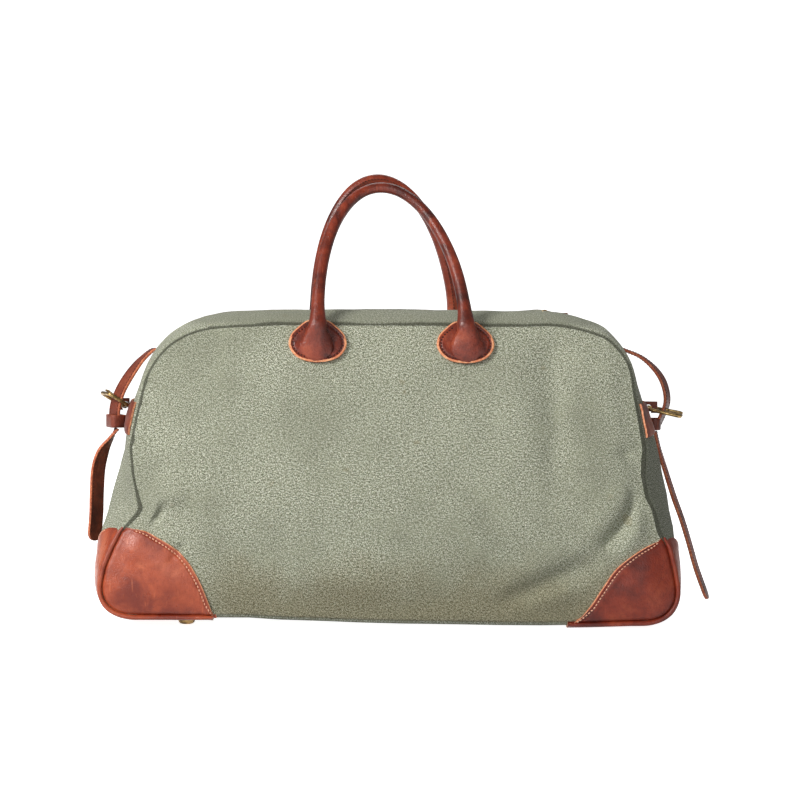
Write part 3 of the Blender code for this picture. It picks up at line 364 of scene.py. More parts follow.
def make_mesh(name, verts, faces, uvs=None, smooth_angle=40):
    """A mesh object from points in millimetres. uvs are one pair per point, in metres."""
    mesh = bpy.data.meshes.new(name)
    mesh.from_pydata([tuple(p) for p in np.asarray(verts) * MM], [], faces)
    if uvs is not None:
        layer = mesh.uv_layers.new(name="UVMap")
        loops = np.empty(len(mesh.loops), int)
        mesh.loops.foreach_get("vertex_index", loops)
        layer.data.foreach_set("uv", (np.asarray(uvs)[loops] * MM).astype(np.float32).ravel())
    mesh.shade_smooth()
    if smooth_angle:
        mesh.set_sharp_from_angle(angle=math.radians(smooth_angle))
    return link(bpy.data.objects.new(name, mesh))


def grid_faces(rows, columns, close_columns=False, close_rows=False, start=0):
    faces = []
    for i in range(rows if close_rows else rows - 1):
        for j in range(columns if close_columns else columns - 1):
            k, m = (i + 1) % rows, (j + 1) % columns
            faces.append((start + i * columns + j, start + i * columns + m,
                          start + k * columns + m, start + k * columns + j))
    return faces


def surface(name, points, finish, uv=None, flip=False, smooth_angle=None):
    """An open sheet from an array of rows of points."""
    rows, columns = points.shape[:2]
    faces = grid_faces(rows, columns)
    if flip:
        faces = [f[::-1] for f in faces]
    if uv is None:
        along = np.cumsum(np.linalg.norm(np.diff(points, axis=0, prepend=points[:1]), axis=2), 0).mean(1)
        across = np.cumsum(np.linalg.norm(np.diff(points, axis=1, prepend=points[:, :1]), axis=2), 1)
        uv = np.stack([across - across[:, -1:] / 2, np.repeat(along[:, None], columns, 1)], -1)
    made = make_mesh(name, points.reshape(-1, 3), faces, uv.reshape(-1, 2), smooth_angle)
    made.data.materials.append(finish)
    return made


def thicken(made, thickness, rim=None, shown=0, columns=0):
    """Gives a sheet its thickness, inwards from its outer face. rim is the material of its cut edge.

    The first few columns of faces, as many as shown, take the rim's material too.
    """
    if rim:
        made.data.materials.append(rim)
        for face in made.data.polygons:
            if shown and face.index % (columns - 1) < shown:
                face.material_index = 1
    solid = made.modifiers.new("thickness", "SOLIDIFY")
    solid.thickness = thickness * MM
    solid.offset = -1
    solid.use_even_offset = False
    if rim:
        solid.material_offset_rim = 1
    return made


def bake(made):
    """Applies the modifiers."""
    bpy.context.view_layer.update()
    graph = bpy.context.evaluated_depsgraph_get()
    mesh = bpy.data.meshes.new_from_object(made.evaluated_get(graph))
    mesh.set_sharp_from_angle(angle=math.radians(48))
    made.modifiers.clear()
    made.data = mesh
    return made


def mark_seam_shadow(made, distance):
    """Stores each point's distance from the seam, in millimetres, for the cloth's finish to paint the shadow
    of the seam's crease.
    """
    layer = made.data.attributes.new("seam", "FLOAT", "POINT")
    layer.data.foreach_set("value", np.ravel(distance).astype(np.float32))
    return made


def place(made, body, slot, *replaced):
    """The piece rides on a body and stands for some CAD nodes, which are hidden. slot is not used."""
    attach(made, body)
    if replaced:
        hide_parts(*replaced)
    return made


def across_joint(made, body, start, end, slot, *replaced):
    """Bakes the piece's transform into its points and hides the CAD nodes it stands for. body, start, end and
    slot are not used.
    """
    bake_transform(made)
    if replaced:
        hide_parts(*replaced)


def catmull(points, steps):
    """A smooth curve through points."""
    p = np.asarray(points, float)
    p = np.concatenate([[2 * p[0] - p[1]], p, [2 * p[-1] - p[-2]]])
    found = []
    for k in range(1, len(p) - 2):
        for j in range(steps):
            t = j / steps
            found.append(0.5 * (2 * p[k] + (p[k + 1] - p[k - 1]) * t
                         + (2 * p[k - 1] - 5 * p[k] + 4 * p[k + 1] - p[k + 2]) * t * t
                         + (3 * p[k] - p[k - 1] - 3 * p[k + 1] + p[k + 2]) * t**3))
    found.append(p[-2])
    return np.array(found)


def resample(points, count):
    """Points at equal steps along a line."""
    p = np.asarray(points, float)
    s = lengths(p)
    at = np.linspace(0, s[-1], count)
    return np.stack([np.interp(at, s, p[:, k]) for k in range(p.shape[1])], 1)


def runs(path, closed=False):
    """The direction of a path at each of its points."""
    p = np.asarray(path, float)
    if closed:
        run = np.roll(p, -1, 0) - np.roll(p, 1, 0)
    else:
        run = np.gradient(p, axis=0)
    return run / np.linalg.norm(run, axis=1, keepdims=True)


def unit(v):
    v = np.asarray(v, float)
    return v / np.linalg.norm(v, axis=-1, keepdims=True)


def sweep(name, path, section, wide, finish, closed=False, caps=True, smooth_angle=40, scale=None):
    """Sweeps a closed section, of (along wide, along thick) pairs, down a path. wide may be one per point."""
    path = np.asarray(path, float)
    run = runs(path, closed)
    wide = np.broadcast_to(np.asarray(wide, float), path.shape)
    wide = unit(wide - run * (wide * run).sum(1, keepdims=True))
    thick = np.cross(wide, run)
    section = np.asarray(section, float)
    sections = np.broadcast_to(section, (len(path), *section.shape[-2:])) if section.ndim == 2 else section
    if scale is not None:
        sections = sections * np.asarray(scale)[:, None, None]
    rings = path[:, None] + sections[..., :1] * wide[:, None] + sections[..., 1:] * thick[:, None]
    rows, columns = rings.shape[:2]
    faces = grid_faces(rows, columns, close_columns=True, close_rows=closed)
    if caps and not closed:
        faces.append(tuple(range(columns))[::-1])
        faces.append(tuple(range((rows - 1) * columns, rows * columns)))
    along = lengths(path)
    around = lengths(sections[0])
    uv = np.stack(np.meshgrid(around, along), -1)
    made = make_mesh(name, rings.reshape(-1, 3), faces, uv.reshape(-1, 2), smooth_angle)
    face_outwards(made)
    made.data.materials.append(finish)
    return made


def circle(radius, sides):
    angle = np.linspace(0, 2 * math.pi, sides, endpoint=False)
    return np.stack([radius * np.cos(angle), radius * np.sin(angle)], 1)


def strap_section(width, thick, corner=0.7, steps=10):
    """The section of a leather strap with softened edges. Its edges come first and after its face."""
    w, t = width / 2, thick / 2
    points = []
    for sx, sy, first in ((1, 1, 0), (-1, 1, 90), (-1, -1, 180), (1, -1, 270)):
        for k in range(3):
            angle = math.radians(first + 45 * k)
            points.append((sx * (w - corner) + corner * math.cos(angle),
                           sy * (t - corner) + corner * math.sin(angle)))
        if first in (0, 180):
            for k in range(1, steps):
                points.append((sx * (w - corner) * (1 - 2 * k / steps), sy * t))
    return np.array(points)


def join(name, parts):
    """Makes one mesh object of several, with their materials."""
    bm = bmesh.new()
    materials = []
    for part in parts:
        offset = {}
        for k, m in enumerate(part.data.materials):
            if m not in materials:
                materials.append(m)
            offset[k] = materials.index(m)
        part.data.polygons.foreach_set(
            "material_index", [offset[p.material_index] for p in part.data.polygons])
        bm.from_mesh(part.data)
        bpy.data.objects.remove(part)
    mesh = bpy.data.meshes.new(name)
    bm.to_mesh(mesh)
    bm.free()
    for m in materials:
        mesh.materials.append(m)
    return link(bpy.data.objects.new(name, mesh))


def stitches(name, line, normal, finish, pitch=3.5, length=2.5, radius=0.42, sink=0.1):
    """A row of separate stitches along a line of points that lie on a surface with these normals.

    pitch is the distance from one stitch to the next, and sink is how deep a stitch lies in the surface.
    """
    p = np.asarray(line, float)
    n = np.broadcast_to(np.asarray(normal, float), p.shape)
    s = lengths(p)
    count = max(2, int(s[-1] / pitch))
    verts, faces, uvs = [], [], []
    profile = [(-0.5, 0.35), (-0.32, 0.9), (0, 1.0), (0.32, 0.9), (0.5, 0.35)]
    sides = 6
    for k in range(count):
        middle = (k + 0.5) * s[-1] / count
        centre = np.array([np.interp(middle, s, p[:, c]) for c in range(3)])
        ahead = np.array([np.interp(middle + 0.6, s, p[:, c]) for c in range(3)])
        behind = np.array([np.interp(middle - 0.6, s, p[:, c]) for c in range(3)])
        up = unit([np.interp(middle, s, n[:, c]) for c in range(3)])
        run = unit(ahead - behind + up * rng.uniform(-0.05, 0.05))
        across = unit(np.cross(run, up))
        run = unit(run + across * rng.uniform(0.05, 0.16))
        start = len(verts)
        for share, fat in profile:
            middle_point = centre + run * share * length + up * (radius * (fat - 0.55) - sink)
            for j in range(sides):
                angle = 2 * math.pi * j / sides
                verts.append(middle_point + (across * math.cos(angle) + up * math.sin(angle)) * radius * fat)
                uvs.append((j, share * length))
        faces += grid_faces(len(profile), sides, close_columns=True, start=start)
        faces.append(tuple(start + j for j in range(sides))[::-1])
        faces.append(tuple(start + (len(profile) - 1) * sides + j for j in range(sides)))
    made = make_mesh(name, verts, faces, uvs, 60)
    made.data.materials.append(finish)
    return made


# ---------------------------------------------------------------- materials


def srgb(r, g, b):
    """A linear colour from one in sRGB, 0 to 255."""
    return (*[c / 255 / 12.92 if c <= 10 else ((c / 255 + 0.055) / 1.055) ** 2.4 for c in (r, g, b)], 1)


def tone(colour, share):
    """A darker or lighter colour."""
    return (*[min(1, c * share) for c in colour[:3]], 1)


class Finish:
    """A procedural material, built socket by socket."""

    def __init__(self, name, roughness=0.5, specular=0.5, **sockets):
        self.material = bpy.data.materials.new(name)
        self.material.use_nodes = True
        self.tree = self.material.node_tree
        self.shader = self.tree.nodes["Principled BSDF"]
        self.put(self.shader.inputs["Roughness"], roughness)
        self.put(self.shader.inputs["Specular IOR Level"], specular)
        for key, value in sockets.items():
            self.put(self.shader.inputs[key.replace("_", " ")], value)
        self.uv = self.new("ShaderNodeUVMap").outputs["UV"]
        self.place = self.new("ShaderNodeTexCoord").outputs["Object"]

    def put(self, socket, value):
        if isinstance(value, bpy.types.NodeSocket):
            self.tree.links.new(value, socket)
        else:
            socket.default_value = value

    def new(self, kind, **settings):
        node = self.tree.nodes.new(kind)
        for key, value in settings.items():
            setattr(node, key, value)
        return node

    def moved(self, vector, scale=(1, 1, 1), turn=0.0):
        node = self.new("ShaderNodeMapping")
        self.put(node.inputs["Vector"], vector)
        node.inputs["Scale"].default_value = scale
        node.inputs["Rotation"].default_value = (0, 0, turn)
        return node.outputs["Vector"]

    def noise(self, vector, scale, detail=2.0, roughness=0.5, distortion=0.0):
        node = self.new("ShaderNodeTexNoise")
        self.put(node.inputs["Vector"], vector)
        node.inputs["Scale"].default_value = scale
        node.inputs["Detail"].default_value = detail
        node.inputs["Roughness"].default_value = roughness
        node.inputs["Distortion"].default_value = distortion
        return node.outputs["Fac"]

    def cells(self, vector, scale, feature="F1"):
        node = self.new("ShaderNodeTexVoronoi", feature=feature)
        self.put(node.inputs["Vector"], vector)
        node.inputs["Scale"].default_value = scale
        return node.outputs["Distance"]

    def wave(self, vector, scale, distortion=0.0, direction="X"):
        node = self.new("ShaderNodeTexWave", bands_direction=direction)
        self.put(node.inputs["Vector"], vector)
        node.inputs["Scale"].default_value = scale
        node.inputs["Distortion"].default_value = distortion
        return node.outputs["Fac"]

    def between(self, value, low, high, to_low=0.0, to_high=1.0, smooth=True):
        node = self.new("ShaderNodeMapRange")
        if smooth:
            node.interpolation_type = "SMOOTHSTEP"
        self.put(node.inputs["Value"], value)
        node.inputs["From Min"].default_value = low
        node.inputs["From Max"].default_value = high
        node.inputs["To Min"].default_value = to_low
        node.inputs["To Max"].default_value = to_high
        return node.outputs["Result"]

    def math(self, operation, a, b=0.0):
        node = self.new("ShaderNodeMath", operation=operation)
        self.put(node.inputs[0], a)
        self.put(node.inputs[1], b)
        return node.outputs[0]

    def mix(self, share, a, b, blend="MIX"):
        node = self.new("ShaderNodeMix", data_type="RGBA", blend_type=blend)
        self.put(node.inputs["Factor"], share)
        self.put(node.inputs[6], a)
        self.put(node.inputs[7], b)
        return node.outputs[2]

    def axes(self):
        node = self.new("ShaderNodeSeparateXYZ")
        self.put(node.inputs[0], self.place)
        return node.outputs

    def bump(self, height, distance, strength=1.0, below=None):
        node = self.new("ShaderNodeBump")
        node.inputs["Strength"].default_value = strength
        node.inputs["Distance"].default_value = distance
        self.put(node.inputs["Height"], height)
        if below is not None:
            self.put(node.inputs["Normal"], below)
        return node.outputs["Normal"]

    def finish(self, colour, normal=None):
        self.put(self.shader.inputs["Base Color"], colour)
        if normal is not None:
            self.put(self.shader.inputs["Normal"], normal)
        return self.material


def canvas_finish(name, dark, middle, light, stained, shade=0.0):
    """Washed cotton twill: mixed warp and weft threads, worn pale spots, soil near the base, and painted
    shade: low on the ends, on the top strip and in the seam creases.
    """
    f = Finish(name, 0.92, 0.12)
    f.put(f.shader.inputs["Sheen Weight"], 0.10)
    f.put(f.shader.inputs["Sheen Roughness"], 0.6)
    twill = f.moved(f.uv, (1.0, 0.6, 1), math.radians(48))
    threads = f.noise(twill, 1250, 2.0, 0.7)
    slubs = f.noise(f.moved(f.uv, (0.45, 1.0, 1)), 760, 2.0, 0.65)
    grain = f.math("ADD", f.math("MULTIPLY", threads, 0.7), f.math("MULTIPLY", slubs, 0.3))
    cloud = f.noise(f.place, 9, 4.0, 0.6)
    patch = f.noise(f.place, 34, 3.0, 0.55)
    colour = f.mix(f.between(grain, 0.40, 0.50), dark, middle)
    colour = f.mix(f.between(grain, 0.50, 0.60), colour, light)
    colour = f.mix(f.between(cloud, 0.42, 0.70, 0.0, 0.45), colour, tone(middle, 0.64))
    colour = f.mix(f.between(patch, 0.5, 0.75, 0.0, 0.25), colour, tone(middle, 1.25))
    x, _, z = f.axes()
    if stained:
        ragged = f.math("ADD", z, f.math("MULTIPLY", f.noise(f.place, 16, 4.0, 0.6), 0.09))
        soil = f.between(ragged, 0.062, 0.135, 0.66, 0.0)
        soil = f.math("MULTIPLY", soil, f.between(x, -0.205, -0.15, 0.25, 1.0))
        earth = f.mix(f.between(grain, 0.40, 0.60), srgb(84, 76, 52), srgb(150, 141, 108))
        colour = f.mix(soil, colour, earth)
        spots = f.between(f.noise(f.place, 62, 1.0), 0.72, 0.80, 0.0, 0.35)
        colour = f.mix(spots, colour, srgb(132, 122, 88))
    else:
        # Painted shade: the lower part of the ends and the base is darkened by the shade share, most on the
        # right end.
        colour = f.mix(f.between(z, 0.200, 0.290, shade, 0.0), colour, tone(dark, 0.5))
    # Painted shade: the top strip above the top seam is darkened.
    colour = f.mix(f.between(z, 0.297, 0.304, 0.0, 0.60), colour, tone(middle, 0.56))
    # Painted shadow in the seam creases: a soft dark band and, closest to the seam, a near-black line.
    seam = f.new("ShaderNodeAttribute", attribute_name="seam").outputs["Fac"]
    colour = f.mix(f.between(seam, 0.6, 3.2, 0.40, 0.0), colour, tone(middle, 0.35))
    colour = f.mix(f.between(seam, 0.8, 1.5, 0.60, 0.0), colour, srgb(34, 34, 24))
    weave = f.bump(grain, 0.0013, 0.9)
    soft = f.bump(f.noise(f.place, 60, 3.0, 0.5), 0.0018, 0.6, weave)
    return f.finish(colour, soft)


def leather_finish(name, dark, middle, light, roughness=0.42, wear=0.25, grain_scale=620, coat=0.08):
    """Vegetable-tanned leather: mottled dye, fine pores, faint scratches and a waxy coat."""
    f = Finish(name, roughness, 0.32)
    f.put(f.shader.inputs["Coat Weight"], coat)
    f.put(f.shader.inputs["Coat Roughness"], 0.32)
    mottle = f.noise(f.place, 22, 5.0, 0.62, 0.4)
    fine = f.noise(f.place, 130, 4.0, 0.6)
    pores = f.cells(f.place, grain_scale)
    wrinkle = f.noise(f.moved(f.place, (1, 1, 0.4)), 240, 3.0, 0.6, 0.8)
    colour = f.mix(f.between(mottle, 0.36, 0.56), dark, middle)
    colour = f.mix(f.between(mottle, 0.52, 0.72, 0.0, 0.8), colour, light)
    colour = f.mix(f.between(fine, 0.45, 0.7, 0.0, 0.35), colour, dark)
    colour = f.mix(f.between(pores, 0.0, 0.5, 0.25, 0.0), colour, dark)
    scratch = f.noise(f.moved(f.place, (1, 1, 0.12), 0.6), 300, 1.0)
    colour = f.mix(f.between(scratch, 0.66, 0.76, 0.0, wear), colour, light)
    f.put(f.shader.inputs["Roughness"],
          f.between(fine, 0.3, 0.7, roughness - 0.08, roughness + 0.12, smooth=False))
    low = f.bump(wrinkle, 0.0007, 0.55)
    return f.finish(colour, f.bump(f.between(pores, 0.0, 0.6), 0.00035, 0.6, low))


def raw_edge_finish(name, pale, deep):
    """A cut leather edge: pale fibres with burnished streaks."""
    f = Finish(name, 0.62, 0.35)
    fibres = f.noise(f.moved(f.place, (1, 1, 1)), 520, 3.0, 0.7)
    patches = f.noise(f.place, 70, 3.0, 0.6)
    colour = f.mix(f.between(fibres, 0.35, 0.65), deep, pale)
    colour = f.mix(f.between(patches, 0.45, 0.7, 0.0, 0.6), colour, deep)
    return f.finish(colour, f.bump(fibres, 0.0006, 0.6))


def thread_finish(name, dark, light):
    f = Finish(name, 0.6, 0.3)
    ply = f.wave(f.moved(f.place, (1, 1, 1), 0.7), 900, 2.0)
    colour = f.mix(f.between(ply, 0.2, 0.8), dark, light)
    colour = f.mix(f.between(f.noise(f.place, 90, 2.0), 0.45, 0.7, 0.0, 0.5), colour, dark)
    return f.finish(colour, f.bump(ply, 0.0002, 0.6))


def brass_finish(name, dark, light, roughness=0.34):
    """Aged brass: dark patina in patches, brighter where it rubs."""
    f = Finish(name, roughness, 0.5, Metallic=1.0)
    patina = f.noise(f.place, 160, 5.0, 0.65)
    fine = f.noise(f.place, 900, 3.0, 0.6)
    colour = f.mix(f.between(patina, 0.4, 0.62), light, dark)
    f.put(f.shader.inputs["Roughness"], f.between(patina, 0.35, 0.65, roughness - 0.06, roughness + 0.2))
    return f.finish(colour, f.bump(fine, 0.0002, 0.4))


def cloth_finish(name, dark, light, scale=900):
    """A plain-woven cloth."""
    f = Finish(name, 0.95, 0.1)
    weft = f.wave(f.uv, scale * 0.35, 1.5, "X")
    warp_threads = f.wave(f.uv, scale * 0.35, 1.5, "Y")
    weave = f.math("MULTIPLY", weft, warp_threads)
    colour = f.mix(f.between(weave, 0.1, 0.7), dark, light)
    colour = f.mix(f.between(f.noise(f.place, 14, 4.0, 0.6), 0.45, 0.7, 0.0, 0.4), colour, dark)
    return f.finish(colour, f.bump(weave, 0.0006, 0.7))


def board_finish():
    f = Finish("board_fibre", 0.8, 0.3)
    fibres = f.noise(f.moved(f.place, (0.2, 1, 1)), 300, 4.0, 0.7)
    colour = f.mix(f.between(fibres, 0.35, 0.65), srgb(52, 44, 38), srgb(92, 80, 68))
    return f.finish(colour, f.bump(fibres, 0.0004, 0.6))


def rope_finish():
    f = Finish("rope_core_cotton", 0.9, 0.2)
    lay = f.wave(f.moved(f.place, (1, 1, 1), 0.8), 140, 1.0)
    colour = f.mix(f.between(lay, 0.2, 0.8), srgb(150, 132, 100), srgb(206, 190, 156))
    return f.finish(colour, f.bump(lay, 0.0008, 0.7))


CANVAS_TONES = (srgb(66, 69, 50), srgb(152, 155, 132), srgb(232, 234, 218))
CANVAS_MAIN = canvas_finish("canvas_washed_green", *CANVAS_TONES, True)
# The ends and the base use the main canvas's tones with painted shade low down: slight on the left end and
# the base, heavy on the right end.
CANVAS_END = {"left": canvas_finish("canvas_end_light_painted_shade", *CANVAS_TONES, False, 0.14),
              "right": canvas_finish("canvas_end_heavy_painted_shade", *CANVAS_TONES, False, 0.46)}
# One corner leather in a lit and a shaded copy: the left corners get lighter tones as painted light, the
# right corners darker tones as painted shade. Both carry scratch wear.
LEATHER_CORNER = {
    "left": leather_finish(
        "leather_corner_painted_light", srgb(118, 40, 20), srgb(166, 72, 40), srgb(206, 112, 74), 0.34, 0.35,
        coat=0.2),
    "right": leather_finish(
        "leather_corner_painted_shade", srgb(78, 20, 9), srgb(122, 40, 19), srgb(152, 66, 38), 0.44, 0.3)}
LEATHER_HANDLE = leather_finish(
    "leather_handle", srgb(66, 18, 9), srgb(128, 48, 27), srgb(172, 82, 52), 0.34, 0.35, 520, 0.14)
LEATHER_STRAP = leather_finish(
    "leather_strap", srgb(74, 27, 15), srgb(124, 54, 33), srgb(162, 84, 54), 0.45, 0.3)
EDGE_PALE = raw_edge_finish("leather_cut_edge", srgb(236, 170, 128), srgb(188, 104, 68))
EDGE_TAB = raw_edge_finish("leather_tab_edge", srgb(238, 176, 130), srgb(204, 116, 76))
EDGE_STRAP = raw_edge_finish("leather_strap_edge", srgb(214, 128, 88), srgb(156, 74, 48))
THREAD_PALE = thread_finish("thread_pale", srgb(224, 150, 112), srgb(255, 214, 186))
THREAD_DARK = thread_finish("thread_brown", srgb(36, 13, 9), srgb(76, 34, 24))
BRASS = brass_finish("brass_aged", srgb(84, 66, 42), srgb(168, 140, 92))
ZIP_BRASS = brass_finish("brass_zip", srgb(126, 100, 60), srgb(196, 166, 108), 0.3)
TAPE_CLOTH = cloth_finish("zip_tape_cloth", srgb(70, 70, 52), srgb(106, 106, 82), 1400)
LINING_CLOTH = cloth_finish("lining_cloth", srgb(150, 138, 108), srgb(196, 184, 152), 900)


# ---------------------------------------------------------------- canvas shell


def graded(length, fine, step):
    """Distances from 0 to length: fine near both ends, then in even steps."""
    edge = np.array([0, 0.6, 1.2, 1.9, 2.6, 3.6, 5.0, 7.5, 11.0]) * fine
    count = max(2, round((length - 2 * edge[-1]) / step))
    middle = np.linspace(edge[-1], length - edge[-1], count + 1)[1:-1]
    return np.concatenate([edge, middle, (length - edge)[::-1]])


# The modelled cloth's thickness, where the top begins, and how many columns are finer at an edge
CLOTH, MOUTH_SIDE_X, EDGE_COLUMNS = 1.2, 184.0, 9


def turned_in(points, way, ends=True):
    """Adds the seam allowance along a cloth's edges, pointing into the bag."""
    pad = ((1, 1), (1, 1), (0, 0)) if ends else ((0, 0), (1, 1), (0, 0))
    wide = np.pad(points, pad, "edge")
    way = np.broadcast_to(np.asarray(way, float), points.shape)
    way = np.pad(way, pad, "edge") * SEAM_ALLOWANCE
    wide[:, 0] += way[:, 0]
    wide[:, -1] += way[:, -1]
    if ends:
        wide[0, 1:-1] += way[0, 1:-1]
        wide[-1, 1:-1] += way[-1, 1:-1]
    return wide


def canvas_panel(face_name):
    """The front or back panel."""
    inset_x = OUT[:, 0] - SEAM_INSET * OUT[:, 2]
    inset_z = OUT[:, 1] - SEAM_INSET * OUT[:, 3]
    heights = BASE_Z + SEAM_INSET + graded(TOP_Z - BASE_Z - 2 * SEAM_INSET, 1.0, 3.2)
    unit_columns = graded(520.0, 1.0, 4.0)
    rows = []
    for z in heights:
        half = np.interp(z, inset_z[END_SPAN], inset_x[END_SPAN])
        edge = unit_columns[:EDGE_COLUMNS]
        inner = np.linspace(-half + edge[-1], half - edge[-1], len(unit_columns) - 2 * EDGE_COLUMNS + 2)[1:-1]
        x = np.concatenate([-half + edge, inner, (half - edge)[::-1]])
        rows.append(np.stack([x, np.full(len(x), z)], 1))
    plane = np.array(rows)
    points = panel_point(face_name, plane[..., 0], plane[..., 1])
    points = turned_in(points, (0, -FACES[face_name], 0))
    plane = np.pad(plane, ((1, 1), (1, 1), (0, 0)), "edge")
    made = surface(f"{face_name}_cloth", points, CANVAS_MAIN, uv=plane, flip=face_name == "back")
    x, z = plane[..., 0], plane[..., 1]
    # How far the painted seam shadow spreads: wider at the left shoulder, narrower low on the left and along
    # the top.
    shadow_spread = 1 + 1.1 * np.exp(-(((z - 262) / 22) ** 2)) * (x < -200)
    shadow_spread = np.where((x < -200) & (z < 235), 0.55, shadow_spread)
    shadow_spread = np.where(z > 290, 0.8, shadow_spread)
    mark_seam_shadow(made, seam_distance(x, z) / shadow_spread)
    thicken(made, CLOTH)
    bake(made)
    place(made, "shell", "canvas", f"{face_name}_panel")


def across_shares(half):
    """Shares from -1 to 1 across a strip, finer at its seams."""
    return graded(2 * half, 1.0, 5.0) / half - 1


def gusset(side_name):
    """The canvas over one end, with a groove pressed in where the strap lies."""
    side = SIDES[side_name]
    last_rows = [s_at_top(MOUTH_SIDE_X), s_at_top(181.5)]
    s = np.concatenate([np.arange(OUT_S[BASE_END], s_at_top(186.0), 3.0), last_rows])
    shares = across_shares(100.0)
    points = np.stack([strip_point(s, share, side) for share in shares], 1)
    x, z, nx, nz, _ = outline(s)
    puff = np.interp(z, [20, 60, 110, 190, 230, 300], [0, 0.6, 1.6, 0.8, 0.8, 0.3])[:, None]
    y = points[..., 1]
    inside = smoothstep((1 - np.abs(shares)) / 0.15)[None]
    points[..., 0] += side * puff * inside * (value_noise(y, z[:, None] * 0.5, 26, 21)
                                              + 0.5 * value_noise(y, z[:, None], 11, 22))
    pressed = STRAP_GROOVE * np.exp(-((y / 13.0) ** 4)) * smoothstep((z[:, None] - 256) / 8)
    pressed = pressed * smoothstep((x[:, None] - SLOT_END_X - 3) / 7)
    points = points - pressed[..., None] * np.stack([side * nx, 0 * nx, nz], 1)[:, None]
    points[-1, :, 2] -= 1.0 + 3.0 * np.exp(-((y[-1] / 9.0) ** 4))
    points = turned_in(points, np.stack([-side * nx, 0 * nx, -nz], 1)[:, None], ends=False)
    made = surface(f"gusset_cloth_{side_name}", points, CANVAS_END[side_name], flip=side > 0)
    # Distances for the painted seam shadow along the strip's edges, narrower on the left end.
    reach = (1 - np.abs(np.pad(shares, 1, "edge"))) * (170 if side < 0 else 110)
    mark_seam_shadow(made, np.broadcast_to(reach, points.shape[:2]))
    thicken(made, CLOTH)
    bake(made)
    place(made, "shell", "canvas", f"end_gusset_{side_name}")


def base_cloth():
    s = np.linspace(0, OUT_S[BASE_END], 60)
    shares = across_shares(110.0)
    right = np.stack([strip_point(s, share) for share in shares], 1)
    left = np.stack([strip_point(s, share, -1) for share in shares], 1)[:0:-1]
    points = np.concatenate([left, right])
    points = turned_in(points, (0, 0, 1), ends=False)
    made = surface("base_cloth", points, CANVAS_END["left"])
    mark_seam_shadow(made, np.full(points.shape[:2], 9.0))
    thicken(made, CLOTH)
    bake(made)
    place(made, "shell", "canvas", "base_panel")


def mouth_blend(side):
    """Two points on the top, in metres, at x 184 mm and 70 mm, handed to across_joint, which does not use
    them.
    """
    return (side * 0.184, 0, 0.3), (side * 0.070, 0, 0.3)


def top_cloth(face_name, side_name):
    """A quarter of the top, from the seam to the zip."""
    face, side = FACES[face_name], SIDES[side_name]
    s = np.linspace(s_at_top(MOUTH_SIDE_X), OUT_S[-1], 64)
    half = half_depth(outline(s)[1]) - SEAM_INSET
    columns = []
    first = FLAP_EDGE_Y - 1.0
    for share in np.concatenate([np.linspace(0, 0.86, 14), [0.9, 0.93, 0.95, 0.965, 0.98, 0.99, 1.0]]):
        y = first + (half - first) * share
        columns.append(strip_point(s, face * y / half, side))
    points = np.stack(columns, 1)
    x = points[..., 0]
    column = np.arange(points.shape[1])[None]
    points[..., 2] -= 0.9 * np.exp(-(column**2))
    calm = smoothstep((MOUTH_SIDE_X - np.abs(x)) / 20) * smoothstep(column / 4)
    ripple = 0.8 * value_noise(x, points[..., 1], 30, 31) + 0.3 * value_noise(x, points[..., 1], 12, 32)
    points[..., 2] += calm * ripple
    points = np.pad(points, ((0, 0), (0, 1), (0, 0)), "edge")
    points[:, -1, 2] -= SEAM_ALLOWANCE
    flip = (face < 0) == (side > 0)
    made = surface(f"top_cloth_{face_name}_{side_name}", points, CANVAS_MAIN, flip=not flip)
    reach = np.abs(points[..., 1])
    # Painted seam shadow along the top's seam.
    mark_seam_shadow(made, 1.3 * (reach[:, -1:] - reach))
    thicken(made, CLOTH)
    bake(made)
    start, end = mouth_blend(side)
    across_joint(made, f"mouth_{face_name}", start, end, "canvas", f"top_flap_{face_name}")
    line = points[:, 4] + (0, 0, 0.1)
    seam = stitches(f"top_stitch_{face_name}_{side_name}", line, (0, 0, 1), THREAD_DARK, 3.2, 2.3, 0.32)
    across_joint(seam, f"mouth_{face_name}", start, end, "canvas")


